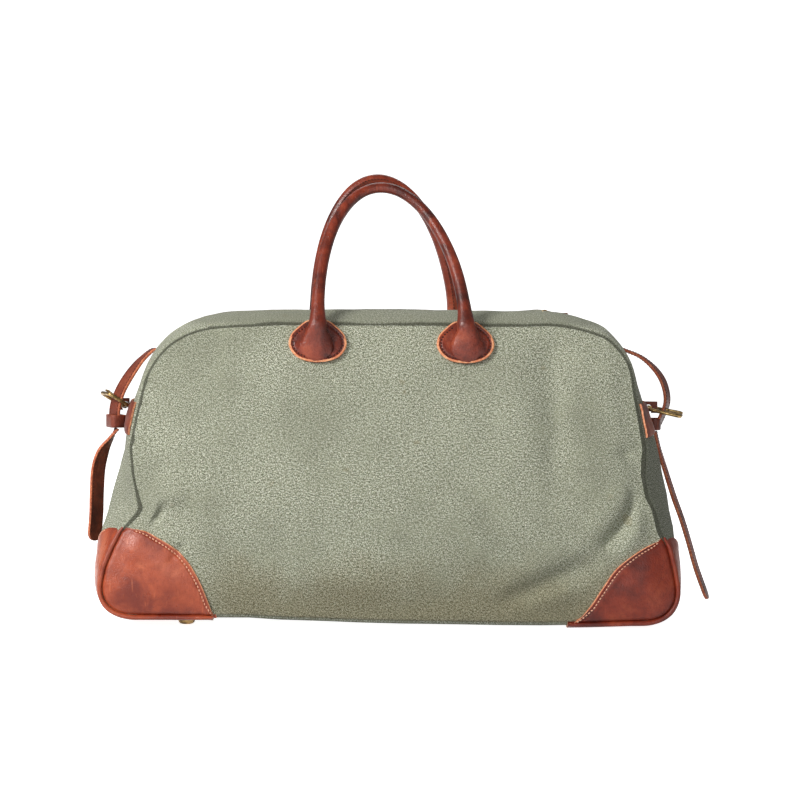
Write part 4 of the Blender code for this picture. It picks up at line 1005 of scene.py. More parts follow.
def lining():
    """The bag's lining: a slack inner bag, open at the top."""
    away = 3.4
    shares = np.linspace(-1, 1, 41)
    s = np.linspace(0, s_at_top(186.0), 110)
    x, z, nx, nz, stretch = outline(s)
    parts = []
    for side in (-1, 1):
        half = half_depth(z) - away
        y = shares[None] * half[:, None]
        rise = strip_rise(stretch[:, None], y, z[:, None], side) * 0.4 - away
        px = side * (x[:, None] + nx[:, None] * rise)
        pz = z[:, None] + nz[:, None] * rise
        crumple = 1.6 * value_noise(y, pz, 24, 41 + side)
        points = warp(np.stack([px - side * np.abs(crumple) * nx[:, None], y,
                                pz + np.abs(crumple) * (nz[:, None] < 0) * 0.4], -1), slack=False)
        parts.append(surface(f"lining_strip_{side}", points, LINING_CLOTH, flip=side > 0))
    for face in (-1, 1):
        rows = []
        for height in np.linspace(BASE_Z + away, TOP_Z - away, 70):
            half = half_width(height) - away
            columns = np.linspace(-half, half, 90)
            rows.append(np.stack([columns, np.full(90, height)], 1))
        plane = np.array(rows)
        px, pz = plane[..., 0], plane[..., 1]
        edge = smoothstep(seam_distance(px, pz) / 30)
        depth = half_depth(pz) - away + (PANEL_CROWN * 0.2 - 1.5) * edge
        depth = depth - edge * 2.4 * np.abs(value_noise(px, pz * 0.5, 30, 47 + face))
        points = warp(np.stack([px, face * depth, pz], -1), slack=False)
        parts.append(surface(f"lining_side_{face}", points, LINING_CLOTH, flip=face > 0))
    made = join("lining_bag", parts)
    bm = bmesh.new()
    bm.from_mesh(made.data)
    bmesh.ops.remove_doubles(bm, verts=bm.verts[:], dist=1.2 * MM)
    bm.to_mesh(made.data)
    bm.free()
    made.data.shade_smooth()
    place(made, "shell", "lining", "lining")


for face_name in FACES:
    canvas_panel(face_name)
for side_name in SIDES:
    gusset(side_name)
    for face_name in FACES:
        top_cloth(face_name, side_name)
base_cloth()
lining()


# ---------------------------------------------------------------- leather corners

CORNER_EDGE = {
    "left": [(-262, 98), (-240, 94), (-210, 77), (-190, 50), (-173, 7)],
    "right": [(272, 88), (250, 80), (225, 63), (210, 45), (195, 25), (178, 8)],
}
CORNER_UP = {"left": 98.0, "right": 90.0}
PATCH_INSET = SEAM_INSET - 1.2
PATCH_TURN = 6.5


def edge_columns(length, wide):
    """Distances from a leather patch's cut edge inwards: close together where the groove runs."""
    near = np.array([0, 0.5, 1.1, 2.0, 3.0, 3.5, 4.0, 4.5, 5.2, 6.5, 8.5, 11.5])
    rest = np.linspace(0, 1, wide)[1:]
    reach = np.minimum(near / 26.0, 1)[None] * np.minimum(length, 26.0)[:, None]
    start = reach[:, -1:]
    return np.concatenate([reach, start + (length[:, None] - start) * rest[None]], 1)


def leather_relief(distance):
    """The groove along the stitches, and the softened cut edge."""
    return -0.55 * np.exp(-(((distance - 4.0) / 0.75) ** 2)) - 0.6 * np.exp(-((distance / 0.6) ** 2)) \
        + 0.45 * np.exp(-(((distance - 6.2) / 1.6) ** 2))


def corner_face(side_name, face_name):
    """The part of a leather corner on the bag's front or back."""
    side, face = SIDES[side_name], FACES[face_name]
    count = 64
    edge = resample(catmull(CORNER_EDGE[side_name], 12), count) * (side, 1)
    s = np.linspace(s_at_height(CORNER_UP[side_name]), s_at_base(edge[-1, 0]), count)
    sx, sz, nx, nz, _ = outline(s)
    seam = np.stack([sx - nx * PATCH_INSET, sz - nz * PATCH_INSET], 1)
    edge[0] = seam[0] + (-2.0, 1.0)
    edge[-1] = seam[-1] + (-1.0, 0.5)
    run = seam - edge
    length = np.linalg.norm(run, axis=1)
    distance = edge_columns(np.maximum(length, 0.5), 16)
    share = distance / distance[:, -1:]
    px = edge[:, :1] + run[:, :1] * share
    pz = np.maximum(edge[:, 1:] + run[:, 1:] * share, BASE_Z + 0.6)
    e = seam_distance(px, pz)
    fade = smoothstep(length / 14.0)[:, None]
    puff = 4.5 * smoothstep(distance / 30) * smoothstep(e / 34)
    y = panel_depth(px, pz) - seam_drop(e, PATCH_TURN, 0.0) + LEATHER_GAP + LEATHER + puff
    y = y + leather_relief(distance) * fade + 0.5 * value_noise(px, pz, 24, 51)
    carried = folds(face_name, side * px, pz) * smoothstep((e - 4) / 26)
    y = y + np.maximum(carried, 0) * np.exp(-((distance / 25.0) ** 2))
    points = warp(np.stack([side * px, face * y, pz], -1))
    name = f"corner_face_leather_{face_name}_{side_name}"
    made = surface(name, points, LEATHER_CORNER[side_name], flip=(side > 0) != (face > 0))
    thicken(made, 2.2, EDGE_PALE, 2, points.shape[1])
    bake(made)
    place(made, "shell", "leather", f"corner_face_{face_name}_{side_name}")
    line = points[2:-2, 6]
    seam_line = stitches(f"corner_face_stitch_{face_name}_{side_name}", line, (0, face, 0), THREAD_PALE,
                         3.6, 2.5, 0.68, -0.25)
    place(seam_line, "shell", "leather")


def corner_side(side_name, face_name):
    """The part of a leather corner on the bag's end, round to its base."""
    side, face = SIDES[side_name], FACES[face_name]
    count = 60
    s = np.linspace(s_at_height(CORNER_UP[side_name]), s_at_base(176.0), count)
    x, z, nx, nz, stretch = outline(s)
    climb = (z - BASE_Z) / (CORNER_UP[side_name] - BASE_Z)
    run_in = np.where(z < 36, (BASE_VERTEX_X - x) / (BASE_VERTEX_X - 174.0), 0)
    reach = np.maximum(1.5, 74.0 * np.sqrt(np.clip(1 - np.maximum(climb, run_in) ** 2, 0, 1)))
    half = half_depth(z)
    distance = edge_columns(reach, 14)
    y = (half - reach)[:, None] + distance - PATCH_INSET * (distance / reach[:, None])
    fade = smoothstep(reach / 14.0)[:, None]
    away = strip_rise(stretch[:, None], y, z[:, None], side) + LEATHER_GAP + LEATHER
    away = away - seam_drop(half[:, None] - y, PATCH_TURN, 0.0) + leather_relief(distance) * fade
    px = x[:, None] + nx[:, None] * away
    pz = z[:, None] + nz[:, None] * away
    points = warp(np.stack([side * px, face * y, pz], -1))
    name = f"corner_side_leather_{face_name}_{side_name}"
    made = surface(name, points, LEATHER_CORNER[side_name], flip=(side > 0) == (face > 0))
    thicken(made, 2.0, EDGE_PALE, 2, points.shape[1])
    bake(made)
    place(made, "shell", "leather", f"corner_side_{face_name}_{side_name}")
    up = np.stack([side * nx, 0 * nx, nz], 1)
    seam_line = stitches(f"corner_side_stitch_{face_name}_{side_name}", points[2:-2, 6], up[2:-2],
                         THREAD_PALE, 3.6, 2.5, 0.6, -0.2)
    place(seam_line, "shell", "leather")


def corner_welt(side_name, face_name):
    """The rolled leather along a corner's seam."""
    side, face = SIDES[side_name], FACES[face_name]
    s = np.linspace(s_at_height(CORNER_UP[side_name] + 1), s_at_base(176.0), 90)
    x, z, nx, nz, _ = outline(s)
    stand = 0.9
    path = warp(np.stack([side * (x + nx * stand), face * (half_depth(z) + stand), z + nz * stand], 1))
    swell = 0.55 + 0.45 * smoothstep(np.minimum(np.arange(90), 89 - np.arange(90)) / 6)
    swell = swell * (1 + 0.05 * value_noise(s, s * 0, 9, 61))
    name = f"corner_welt_leather_{face_name}_{side_name}"
    made = sweep(name, path, circle(2.5, 12), (0, 1, 0), LEATHER_CORNER[side_name], scale=swell)
    place(made, "shell", "leather", f"corner_welt_{face_name}_{side_name}")


for side_name in SIDES:
    for face_name in FACES:
        corner_face(side_name, face_name)
        corner_side(side_name, face_name)
        corner_welt(side_name, face_name)


# ---------------------------------------------------------------- handles and tabs

TAB_OUTLINE = [(0, 263), (10, 263.8), (20, 267.5), (26.5, 274), (29, 282), (26, 291), (19, 298),
               (13.5, 302.5), (9, 304.5), (0, 304.5)]
TAB_MIDDLE = 283.0

# The handle's neck on its tab: height, half width, and how far it stands off the panel
NECK = [(296, 10.0, 15.0), (291, 12.2, 12.2), (286, 14.6, 9.9), (281, 16.4, 8.0), (276, 17.2, 6.2),
        (272, 16.4, 4.6), (269, 14.6, 3.1), (267, 12.0, 1.8), (265.6, 8.0, 0.4)]


def tab_radius(angle):
    """The tab's outline, as a distance from its middle by angle from straight down."""
    half = catmull(TAB_OUTLINE, 6)
    at = np.arctan2(half[:, 0], TAB_MIDDLE - half[:, 1])
    return np.interp(np.abs(angle), at, np.hypot(half[:, 0], half[:, 1] - TAB_MIDDLE))


def handle_tab(face_name, side_name):
    """The leather tab that a handle's end is sewn to."""
    side, face = SIDES[side_name], FACES[face_name]
    sectors = 96
    angle = np.linspace(-math.pi, math.pi, sectors, endpoint=False)
    edge = tab_radius((angle + math.pi) % (2 * math.pi) - math.pi)
    inset = np.array([0, 0.5, 1.2, 2.2, 3.2, 3.7, 4.2, 4.7, 5.4, 6.6])
    rings = [edge - d for d in inset] + [(edge - inset[-1]) * share for share in (0.8, 0.55, 0.3, 0.02)]
    rows = []
    for k, ring in enumerate(rings):
        x = TAB_X + ring * np.sin(angle)
        z = TAB_MIDDLE - ring * np.cos(angle)
        d = inset[k] if k < len(inset) else 12.0
        y = panel_depth(x, np.minimum(z, TOP_Z)) + 0.6 + 3.2 + leather_relief(d) * 0.9
        rows.append(np.stack([side * x, face * y, z], 1))
    points = np.array(rows)
    count = points.shape[1]
    verts = points.reshape(-1, 3)
    faces = grid_faces(len(rows), count, close_columns=True)
    faces.append(tuple(range((len(rows) - 1) * count, len(rows) * count))[::-1])
    uv = np.stack([verts[:, 0], verts[:, 2]], 1)
    name = f"tab_leather_{face_name}_{side_name}"
    made = make_mesh(name, verts, faces, uv, None)
    face_outwards(made, face)
    made.data.materials.append(LEATHER_HANDLE)
    thicken(made, 3.4, EDGE_TAB)
    for polygon in made.data.polygons:
        ring, sector = divmod(polygon.index, count)
        if ring < (3 if abs(angle[sector]) < math.radians(100) else 2):
            polygon.material_index = 1
    bake(made)
    place(made, "shell", "leather", f"handle_tab_{face_name}_{side_name}")
    low = [k for k in range(sectors) if abs(angle[k]) < math.radians(146)]
    line = points[6][low]
    sewn = stitches(f"tab_stitch_{face_name}_{side_name}", line, (0, face, 0), THREAD_DARK,
                    3.3, 1.9, 0.75, -0.3)
    place(sewn, "shell", "leather")


def handle_path(face_name, count=150):
    """The middle line of a handle's sleeve, and its plane's up direction."""
    face, lean = FACES[face_name], LEAN[face_name]
    up = np.array([0, -face * math.sin(lean), math.cos(lean)])
    angle = np.linspace(0, math.pi, count)
    height = HANDLE_RISE * np.sin(angle)
    x = -HANDLE_HALF_SPAN * np.cos(angle) + HANDLE_SKEW * (height / HANDLE_RISE) ** HANDLE_SKEW_POWER
    pivot = np.array([0, face * PIVOT_Y, PIVOT_Z])
    return pivot + np.stack([x, 0 * x, 0 * x], 1) + up * height[:, None], up


def handle(face_name):
    """A handle's rolled sleeve, down over its tabs, and the stitches on its inner side."""
    face = FACES[face_name]
    line, up = handle_path(face_name)
    line = resample(line, 120)
    arc_z = line[:, 2]
    flare = np.interp(arc_z, [300, 304, 308, 314, 324, 345, 390, 440],
                      [9.2, 8.7, 8.0, 7.2, 6.6, 6.3, 5.9, 5.3])
    deep = np.interp(arc_z, [300, 306, 314, 324, 345, 390, 440], [6.8, 6.6, 6.5, 6.4, 6.2, 5.8, 5.3])
    neck = []
    for z, wide, stand in NECK:
        surface_y = panel_depth(np.array([HANDLE_HALF_SPAN]), np.array([z]))[0] + 3.8
        thick = 6.8 if z > 292 else 6.0
        neck.append((surface_y + stand - thick, z, wide, thick))
    left, right = [[(side * (HANDLE_HALF_SPAN + 1.0), face * y, z) for y, z, *_ in neck] for side in (-1, 1)]
    neck_wide, neck_thick = [row[2] for row in neck], [row[3] for row in neck]
    path = np.array([*left[::-1], *line, *right])
    wides = np.array([*neck_wide[::-1], *flare, *neck_wide])
    deeps = np.array([*neck_thick[::-1], *deep, *neck_thick])
    run = runs(path)
    normal = np.cross((1, 0, 0), up)
    normal = normal if normal[1] * face > 0 else -normal
    normals = np.broadcast_to(unit(normal), path.shape).copy()
    for k in range(len(left)):
        tilt = (k + 1) / (len(left) + 1)
        outward = np.array([0, face, 0.12])
        normals[k] = unit(outward * (1 - tilt) + normal * tilt)
        normals[-1 - k] = normals[k]
    normals = unit(normals - run * (normals * run).sum(1, keepdims=True))
    across = np.cross(run, normals)
    sides = 28
    angle = np.linspace(0, 2 * math.pi, sides, endpoint=False)
    arc = lengths(path)
    crease = 1 + 0.018 * value_noise(arc[:, None], np.degrees(angle)[None] * 0.12, 9, 71)
    crease = crease + 0.015 * value_noise(arc[:, None], np.degrees(angle)[None] * 0.3, 30, 72)
    near_foot = np.clip((292 - path[:, 2]) / 16, 0, 1)[:, None]
    crease = crease + near_foot * 0.045 * np.sin(angle * 11 + 1.3)[None] * (np.sin(angle) > 0)
    seam_ridge = 0.8 * np.exp(-(((angle - 1.5 * math.pi) / 0.16) ** 2))[None]
    rings = path[:, None] + across[:, None] * (wides[:, None] * np.cos(angle) * crease)[..., None] \
        + normals[:, None] * ((deeps[:, None] * crease + seam_ridge) * np.sin(angle)[None])[..., None]
    faces = grid_faces(len(path), sides, close_columns=True)
    faces.append(tuple(range(sides))[::-1])
    faces.append(tuple(range((len(path) - 1) * sides, len(path) * sides)))
    around = angle * 6.3
    uv = np.stack(np.meshgrid(around, arc), -1).reshape(-1, 2)
    made = make_mesh(f"handle_sleeve_{face_name}", rings.reshape(-1, 3), faces, uv, 60)
    face_outwards(made)
    made.data.materials.append(LEATHER_HANDLE)
    start, end = (0, face * 0.0815, 0.294), (0, face * 0.0815, 0.312)
    across_joint(made, f"handle_{face_name}", start, end, "leather", f"handle_{face_name}")
    sewn_part, inner = slice(12, -12), int(sides * 0.75)
    ridge = rings[sewn_part, inner] - normals[sewn_part] * 0.2
    sewn = stitches(f"handle_stitch_{face_name}", ridge, -normals[sewn_part], THREAD_DARK, 3.4, 2.2, 0.4, 0.0)
    across_joint(sewn, f"handle_{face_name}", start, end, "leather")


for face_name in FACES:
    handle(face_name)
    for side_name in SIDES:
        handle_tab(face_name, side_name)


# ---------------------------------------------------------------- end straps and buckles


def end_outline_point(z, out):
    """The middle of the bag's end at a height, on the CAD's strip."""
    s = s_at_height(z)
    x, zz, nx, nz, _ = [float(v) for v in outline(s)]
    return np.array([x + nx * (END_CROWN + out), zz + nz * (END_CROWN + out)])


ROOT = float(end_outline_point(BUCKLE_Z, LEATHER_GAP + LEATHER)[0])


def buckle_place(side_name, out, y, z, share=1.0):
    """A point out from the bag's end, across it by y and z above the buckle, turned by a share of its yaw."""
    yaw = YAW[side_name] * share
    x = ROOT + out * math.cos(yaw) + y * math.sin(yaw)
    return np.array([SIDES[side_name] * x, y * math.cos(yaw) - out * math.sin(yaw), BUCKLE_Z + z])


def on_buckle(side_name, run, rise):
    """Out and up of a point at run along the frame from its bar, and rise off its plane."""
    tilt = TILT[side_name]
    return (BAR[0] + run * math.cos(tilt) - rise * math.sin(tilt),
            BAR[1] + run * math.sin(tilt) + rise * math.cos(tilt))


def across_at(side_name, share=1.0):
    """The direction across the strap, at a share of the yaw."""
    yaw = YAW[side_name] * share
    return np.array([SIDES[side_name] * math.sin(yaw), math.cos(yaw), 0.0])


def strap_edges(made, section, width):
    """Gives a strap's ends and its long cut edges their own material."""
    made.data.materials.append(EDGE_STRAP)
    columns = len(section)
    middles = (section + np.roll(section, -1, 0)) / 2
    for face in made.data.polygons:
        indices = sorted(v % columns for v in face.vertices)
        j = columns - 1 if indices[0] == 0 and indices[-1] == columns - 1 else indices[0]
        if len(face.vertices) > 4 or abs(middles[j, 0]) > width / 2 - 0.75:
            face.material_index = 1


def strap_piece(name, path, facing, width, thick, steps):
    """A leather strap down a smooth path, with cut edges."""
    smooth_path = catmull(path, steps)
    smooth_facing = unit(catmull(facing, steps))
    section = strap_section(width, thick)
    made = sweep(name, smooth_path, section, smooth_facing, LEATHER_STRAP, smooth_angle=60)
    strap_edges(made, section, width)
    return made, smooth_path, smooth_facing


def strap_stitches(name, path, facing):
    """The rows of stitches along a strap's two edges, on both its faces."""
    run = runs(path)
    wide = unit(facing - run * (facing * run).sum(1, keepdims=True))
    normal = np.cross(wide, run)
    parts = []
    for edge_sign in (-1, 1):
        for face_sign in (-1, 1):
            line = path + wide * edge_sign * (STRAP_WIDTH / 2 - 2.6) + normal * face_sign * STRAP / 2
            parts.append(stitches(f"{name}_{edge_sign}_{face_sign}", line, normal * face_sign, THREAD_DARK,
                                  3.2, 2.1, 0.36, 0.05))
    return join(name, parts)


def end_band(side_name):
    """The leather band across one end of the bag."""
    side = SIDES[side_name]
    low, high, columns = 190, 222, 45
    heights = np.linspace(low, high, 15)
    shares = np.linspace(-1, 1, columns)
    scallop = 2.0 * np.cos(shares * math.pi * 2.0)
    rows = []
    for z in heights:
        low_edge = np.clip((low + 8 - z) / 8, 0, 1)
        s = np.array([s_at_height(z - (scallop[k] - 1.0) * low_edge * 0.8) for k in range(columns)])
        x, zz, nx, nz, stretch = outline(s)
        y = shares * (half_depth(zz) - 2.2)
        border = min(z - low, high - z)
        relief = float(leather_relief(np.array([border]))[0])
        away = strip_rise(stretch, y, zz, side) + LEATHER_GAP + LEATHER + relief
        away = away - seam_drop(half_depth(zz) - np.abs(y), 5.0, 0.0)
        rows.append(np.stack([side * (x + nx * away), y, zz + nz * away], 1))
    points = warp(np.array(rows))
    made = surface(f"end_band_leather_{side_name}", points, LEATHER_STRAP, flip=side > 0)
    thicken(made, 2.0, EDGE_PALE)
    bake(made)
    place(made, "shell", "leather", f"end_band_{side_name}")
    parts = []
    for k, row in enumerate((2, len(heights) - 3)):
        parts.append(stitches(f"band_row_{side_name}_{k}", points[row], (side, 0, 0.2), THREAD_DARK,
                              3.4, 2.3, 0.4))
    place(join(f"end_band_stitch_{side_name}", parts), "shell", "leather")


def buckle_tab(side_name):
    """The folded leather that holds the buckle's bar, with a slot for the pin."""
    loop = FRAME[2] + GAP + 1.0
    foot = GAP + 1.0
    profile = [(foot + 3.6, -14, 0), (foot + 4.6, -8, 0.2), (9.2, -2, 0.6), (11.4, 3.6, 1)]
    for degrees in (-12, 12, 35, 60, 85, 110, 135):
        angle = math.radians(degrees)
        profile.append((BAR[0] + loop * math.cos(angle), BAR[1] + loop * math.sin(angle), 1))
    profile += [(5.2, 7.4, 0.6), (foot + 1.2, 2.6, 0), (foot + 2.2, -3.5, 0)]
    path = [buckle_place(side_name, out, 0, z, share) for out, z, share in profile]
    facing = [across_at(side_name, share) for *_, share in profile]
    made = strap_piece(f"buckle_loop_{side_name}", path, facing, 20, 2.0, 3)[0]
    slot = link(bpy.data.objects.new("slot_cutter", bpy.data.meshes.new("slot_cutter")))
    bm = bmesh.new()
    ring = []
    for y in (-2.1, 2.1):
        for out, z in ((-4.6, -4.6), (9.2, -4.6), (9.2, 7.4), (-4.6, 7.4)):
            ring.append(bm.verts.new(buckle_place(side_name, BAR[0] + out, y, BAR[1] + z) * MM))
    bm.faces.new(ring[:4])
    bm.faces.new(ring[4:])
    for k in range(4):
        bm.faces.new((ring[k], ring[(k + 1) % 4], ring[4 + (k + 1) % 4], ring[4 + k]))
    bmesh.ops.recalc_face_normals(bm, faces=bm.faces[:])
    bm.to_mesh(slot.data)
    bm.free()
    boolean = made.modifiers.new("slot", "BOOLEAN")
    boolean.object = slot
    boolean.solver = "EXACT"
    bake(made)
    bpy.data.objects.remove(slot)
    place(made, "shell", "leather", f"buckle_tab_{side_name}")


def keeper(side_name):
    """The leather loop that the strap's tail comes out of."""
    inner, outer, low, high = KEEPER[side_name]
    wide = KEEPER_HOLE_HALF_WIDTH
    corner = 2.4
    path = []
    for (out, y, first) in ((outer, wide, 0), (inner, wide, 90), (inner, -wide, 180), (outer, -wide, 270)):
        so, sy = (1 if out == outer else -1), (1 if y > 0 else -1)
        for k in range(5):
            angle = math.radians(first + 22.5 * k)
            po = out - so * corner + (corner + 0.9) * math.cos(angle)
            py = y - sy * corner + (corner + 0.9) * math.sin(angle)
            path.append(buckle_place(side_name, po, py, (low + high) / 2))
    path = np.array(path)
    section = strap_section(high - low, KEEPER_LEATHER, 0.6, 4)
    made = sweep(f"keeper_loop_{side_name}", path, section, (0, 0, 1), LEATHER_STRAP,
                 closed=True, smooth_angle=60)
    made.data.materials.append(EDGE_STRAP)
    for face in made.data.polygons:
        if abs(face.normal.z) > 0.6:
            face.material_index = 1
    place(made, "shell", "leather", f"strap_keeper_{side_name}")


def buckle(side_name):
    """The brass frame and the pin on its bar."""
    length = FRAME_LENGTH[side_name]
    half, corner, wire = FRAME
    path = []
    for sign_run, sign_y, start in ((1, 1, 0), (0, 1, 90), (0, -1, 180), (1, -1, 270)):
        for step in range(8):
            angle = math.radians(start + 90 * step / 7)
            run = (length - corner if sign_run else corner) + corner * math.cos(angle)
            y = sign_y * (half - corner) + corner * math.sin(angle)
            out, z = on_buckle(side_name, run, 0)
            path.append(buckle_place(side_name, out, y, z))
    path = np.array(path)
    out, z = on_buckle(side_name, 0, 1)
    across = unit(buckle_place(side_name, out, 0, z) - buckle_place(side_name, BAR[0], 0, BAR[1]))
    made = sweep(f"buckle_wire_{side_name}", path, circle(wire + 0.15, 14), across, BRASS, closed=True)
    place(made, f"buckle_{side_name}", "brass", f"buckle_frame_{side_name}")
    eye_half_width, eye_radius = 1.6, 2.75
    wide = across_at(side_name)
    steps = 20
    ring = []
    for k in range(steps):
        angle = 2 * math.pi * k / steps
        out, z = on_buckle(side_name, eye_radius * math.cos(angle), eye_radius * math.sin(angle))
        ring.append(buckle_place(side_name, out, 0, z))
    eye = sweep(f"pin_eye_{side_name}", np.array(ring), strap_section(2 * eye_half_width, 1.15, 0.4, 3), wide,
                BRASS, closed=True)
    tongue_path = []
    for run, rise in ((1.6, 2.2), (5, 2.9), (10, 2.6), (20, 3.1), (length - 2, 3.5), (length + 1.8, 3.0)):
        out, z = on_buckle(side_name, run, rise)
        tongue_path.append(buckle_place(side_name, out, 0, z))
    path = catmull(tongue_path, 5)
    thin = np.interp(np.arange(len(path)), [0, len(path) * 0.8, len(path) - 1], [1.0, 0.95, 0.6])
    tongue = sweep(f"pin_tongue_{side_name}", path, circle(1.35, 12), wide, BRASS, scale=thin)
    made = join(f"buckle_pin_wire_{side_name}", [eye, tongue])
    place(made, f"buckle_pin_{side_name}", "brass", f"buckle_pin_{side_name}")


# Distance out, height, and share of the buckle's turn, at points of the strap
STRAP_LINE = {
    "left": [(243, 271.5, 0), (252.5, 263.5, 0.2), (261.5, 253, 0.5), (269.5, 241.5, 0.75),
             (276.5, 229.5, 1.0), (281, 217, 1.0), (282.5, 205, 1.0), (281.5, 193.5, 1.0)],
    "right": [(246, 275.5, 0), (262, 269, 0.2), (275, 259, 0.5), (284.5, 247, 0.75), (289.5, 234, 1.0),
              (290.5, 221, 1.0), (286, 208, 1.0), (279.5, 193.5, 1.0)],
}
STRAP_ANCHOR_X = (188, 204, 219, 231)
# Distance out, depth, height, and twist in degrees, at points of the tail
TAILS = {
    "right": [(278.6, -3.5, 191.1, 12), (282.6, -3.8, 173, 15), (290, -4, 150, 18), (299, -4, 123, 20),
              (308, -4, 99, 20), (316, -4, 74, 20), (323.5, -4, 49, 20), (332.5, -4, 25, 20),
              (336, -4, 16.5, 20)],
    "left": [(278.5, -6.4, 191.1, 12), (284.5, -8, 181, -8), (292.5, -10, 167, -34), (297, -11, 150, -42),
             (298.5, -11, 126, -42), (299, -11, 104, -42), (300.5, -11, 84, -42), (301.5, -11, 76, -42)],
}


def strap_anchor(x):
    """A point of the strap where it is sewn down on the top corner."""
    s = s_at_top(x)
    px, z, nx, nz, stretch = [float(v) for v in outline(s)]
    away = float(strip_rise(stretch, STRAP_WIDTH / 2, z)) + LEATHER_GAP + GAP + STRAP / 2 - STRAP_SUNK
    return np.array([px + nx * away, 0, z + nz * away])


def strap(side_name):
    """The fixed strap, from the top down through the buckle."""
    side = SIDES[side_name]
    points = [warp(strap_anchor(x) * (side, 1, 1)) for x in STRAP_ANCHOR_X]
    facing = [np.array([0, 1.0, 0])] * len(points)
    for x, z, share in STRAP_LINE[side_name]:
        yaw = YAW[side_name] * share
        out = x - ROOT
        px = ROOT + out * math.cos(yaw) if out > 0 else x
        py = -max(0.0, out) * math.sin(yaw)
        points.append(np.array([side * px, py, z]))
        turn = TURN_OUT[side_name] * min(1, 0.35 + share)
        facing.append(np.array([side * math.sin(turn), math.cos(turn), 0]))
    made, path, wide = strap_piece(f"strap_leather_{side_name}", points, facing, STRAP_WIDTH, STRAP, 6)
    place(made, "shell", "leather", f"end_strap_{side_name}")
    sewn = strap_stitches(f"strap_stitch_{side_name}", path[1:], wide[1:])
    place(sewn, "shell", "leather")


def strap_tail(side_name):
    """The strap's hanging end, rounded at its tip."""
    side = SIDES[side_name]
    points, facing = [], []
    for x, y, z, twist in TAILS[side_name]:
        angle = math.radians(twist)
        points.append(np.array([side * x, y, z], float))
        facing.append(np.array([side * math.sin(angle), math.cos(angle), 0]))
    path, wide = catmull(points, 10), unit(catmull(facing, 10))
    section = strap_section(STRAP_WIDTH, STRAP)
    along = lengths(path)
    left = along[-1] - along
    narrow = np.sqrt(np.clip(1 - ((9 - np.minimum(left, 9)) / 9.2) ** 2, 0.02, 1))
    sections = np.repeat(section[None], len(path), 0)
    sections[..., 0] *= narrow[:, None]
    made = sweep(f"tail_leather_{side_name}", path, sections, wide, LEATHER_STRAP, smooth_angle=60)
    strap_edges(made, section, STRAP_WIDTH)
    place(made, f"strap_tail_{side_name}", "leather", f"strap_tail_{side_name}")
    keep = left > 8
    sewn = strap_stitches(f"tail_stitch_{side_name}", path[keep], wide[keep])
    place(sewn, f"strap_tail_{side_name}", "leather")


for side_name in SIDES:
    end_band(side_name)
    buckle_tab(side_name)
    keeper(side_name)
    buckle(side_name)
    strap(side_name)
    strap_tail(side_name)


# ---------------------------------------------------------------- zip


def zip_height():
    """The zip lies just below the canvas at the middle of the top."""
    z = float(outline(OUT_S[-1])[1])
    return z + float(strip_rise(2.0, 3.5, z)) - CANVAS - 0.3 - 0.4


ZIP_Z = zip_height()
TEETH_LENGTH, TOOTH_PITCH = 176, 2.6
# A tooth is two tapered blocks: how long, deep and high each is, and its distance from the zip's middle
TOOTH_BLOCKS = ((1.0, 1.5, 1.4, 2.6), (0.72, 1.3, 1.0, 0.9))
TOOTH_CORNERS = ((-1, -1, -1), (1, -1, -1), (1, 1, -1), (-1, 1, -1),
                 (-0.7, -0.8, 1), (0.7, -0.8, 1), (0.7, 0.8, 1), (-0.7, 0.8, 1))
TOOTH_FACES = ((0, 3, 2, 1), (4, 5, 6, 7), (0, 1, 5, 4), (1, 2, 6, 5), (2, 3, 7, 6), (3, 0, 4, 7))


def zip_rows(face_name):
    """One side of the zip: its tapes and teeth, in a left and a right half."""
    face = FACES[face_name]
    for side_name, side in SIDES.items():
        x, y = np.meshgrid(np.linspace(0, 181, 60), (16.5, 12, 8, 5, 3.2))
        points = np.stack([side * x, face * y, np.full(x.shape, ZIP_Z + 0.3)], -1)
        made = surface(f"tape_{face_name}_{side_name}", points, TAPE_CLOTH, flip=(face < 0) != (side < 0))
        thicken(made, 0.8)
        bake(made)
        start, end = mouth_blend(side)
        across_joint(made, f"mouth_{face_name}", start, end, "tape", f"zip_tape_{face_name}")
        verts, faces, uvs = [], [], []
        for k in range(int(TEETH_LENGTH / TOOTH_PITCH)):
            middle = k * TOOTH_PITCH + (TOOTH_PITCH / 2 if face < 0 else 0) + 0.7
            for sx, sy, sz, y0 in TOOTH_BLOCKS:
                first = len(verts)
                for dx, dy, dz in TOOTH_CORNERS:
                    verts.append((side * (middle + dx * sx * 0.62), face * (y0 + 0.3 + dy * sy * 0.62),
                                  ZIP_Z + dz * sz))
                    uvs.append((dx, dy))
                faces += [tuple(first + i for i in corners) for corners in TOOTH_FACES]
        teeth = make_mesh(f"teeth_{face_name}_{side_name}", verts, faces, uvs, 30)
        face_outwards(teeth)
        teeth.data.materials.append(ZIP_BRASS)
        across_joint(teeth, f"mouth_{face_name}", start, end, "brass", f"zip_teeth_{face_name}")


for face_name in FACES:
    zip_rows(face_name)


# ---------------------------------------------------------------- feet


# Radius and height, from the dome up its shank to the washer above the board
FOOT_PROFILE = [(0.01, 0), (4.4, 0.05), (6.4, 0.6), (7.8, 1.9), (8.4, 3.4), (8.3, 4.6), (7.4, 5.2),
                (2.0, 5.6), (2.0, 18.0), (5.6, 18.2), (6.0, 19.0), (4.6, 19.8), (2.0, 20.2), (0.01, 20.3)]


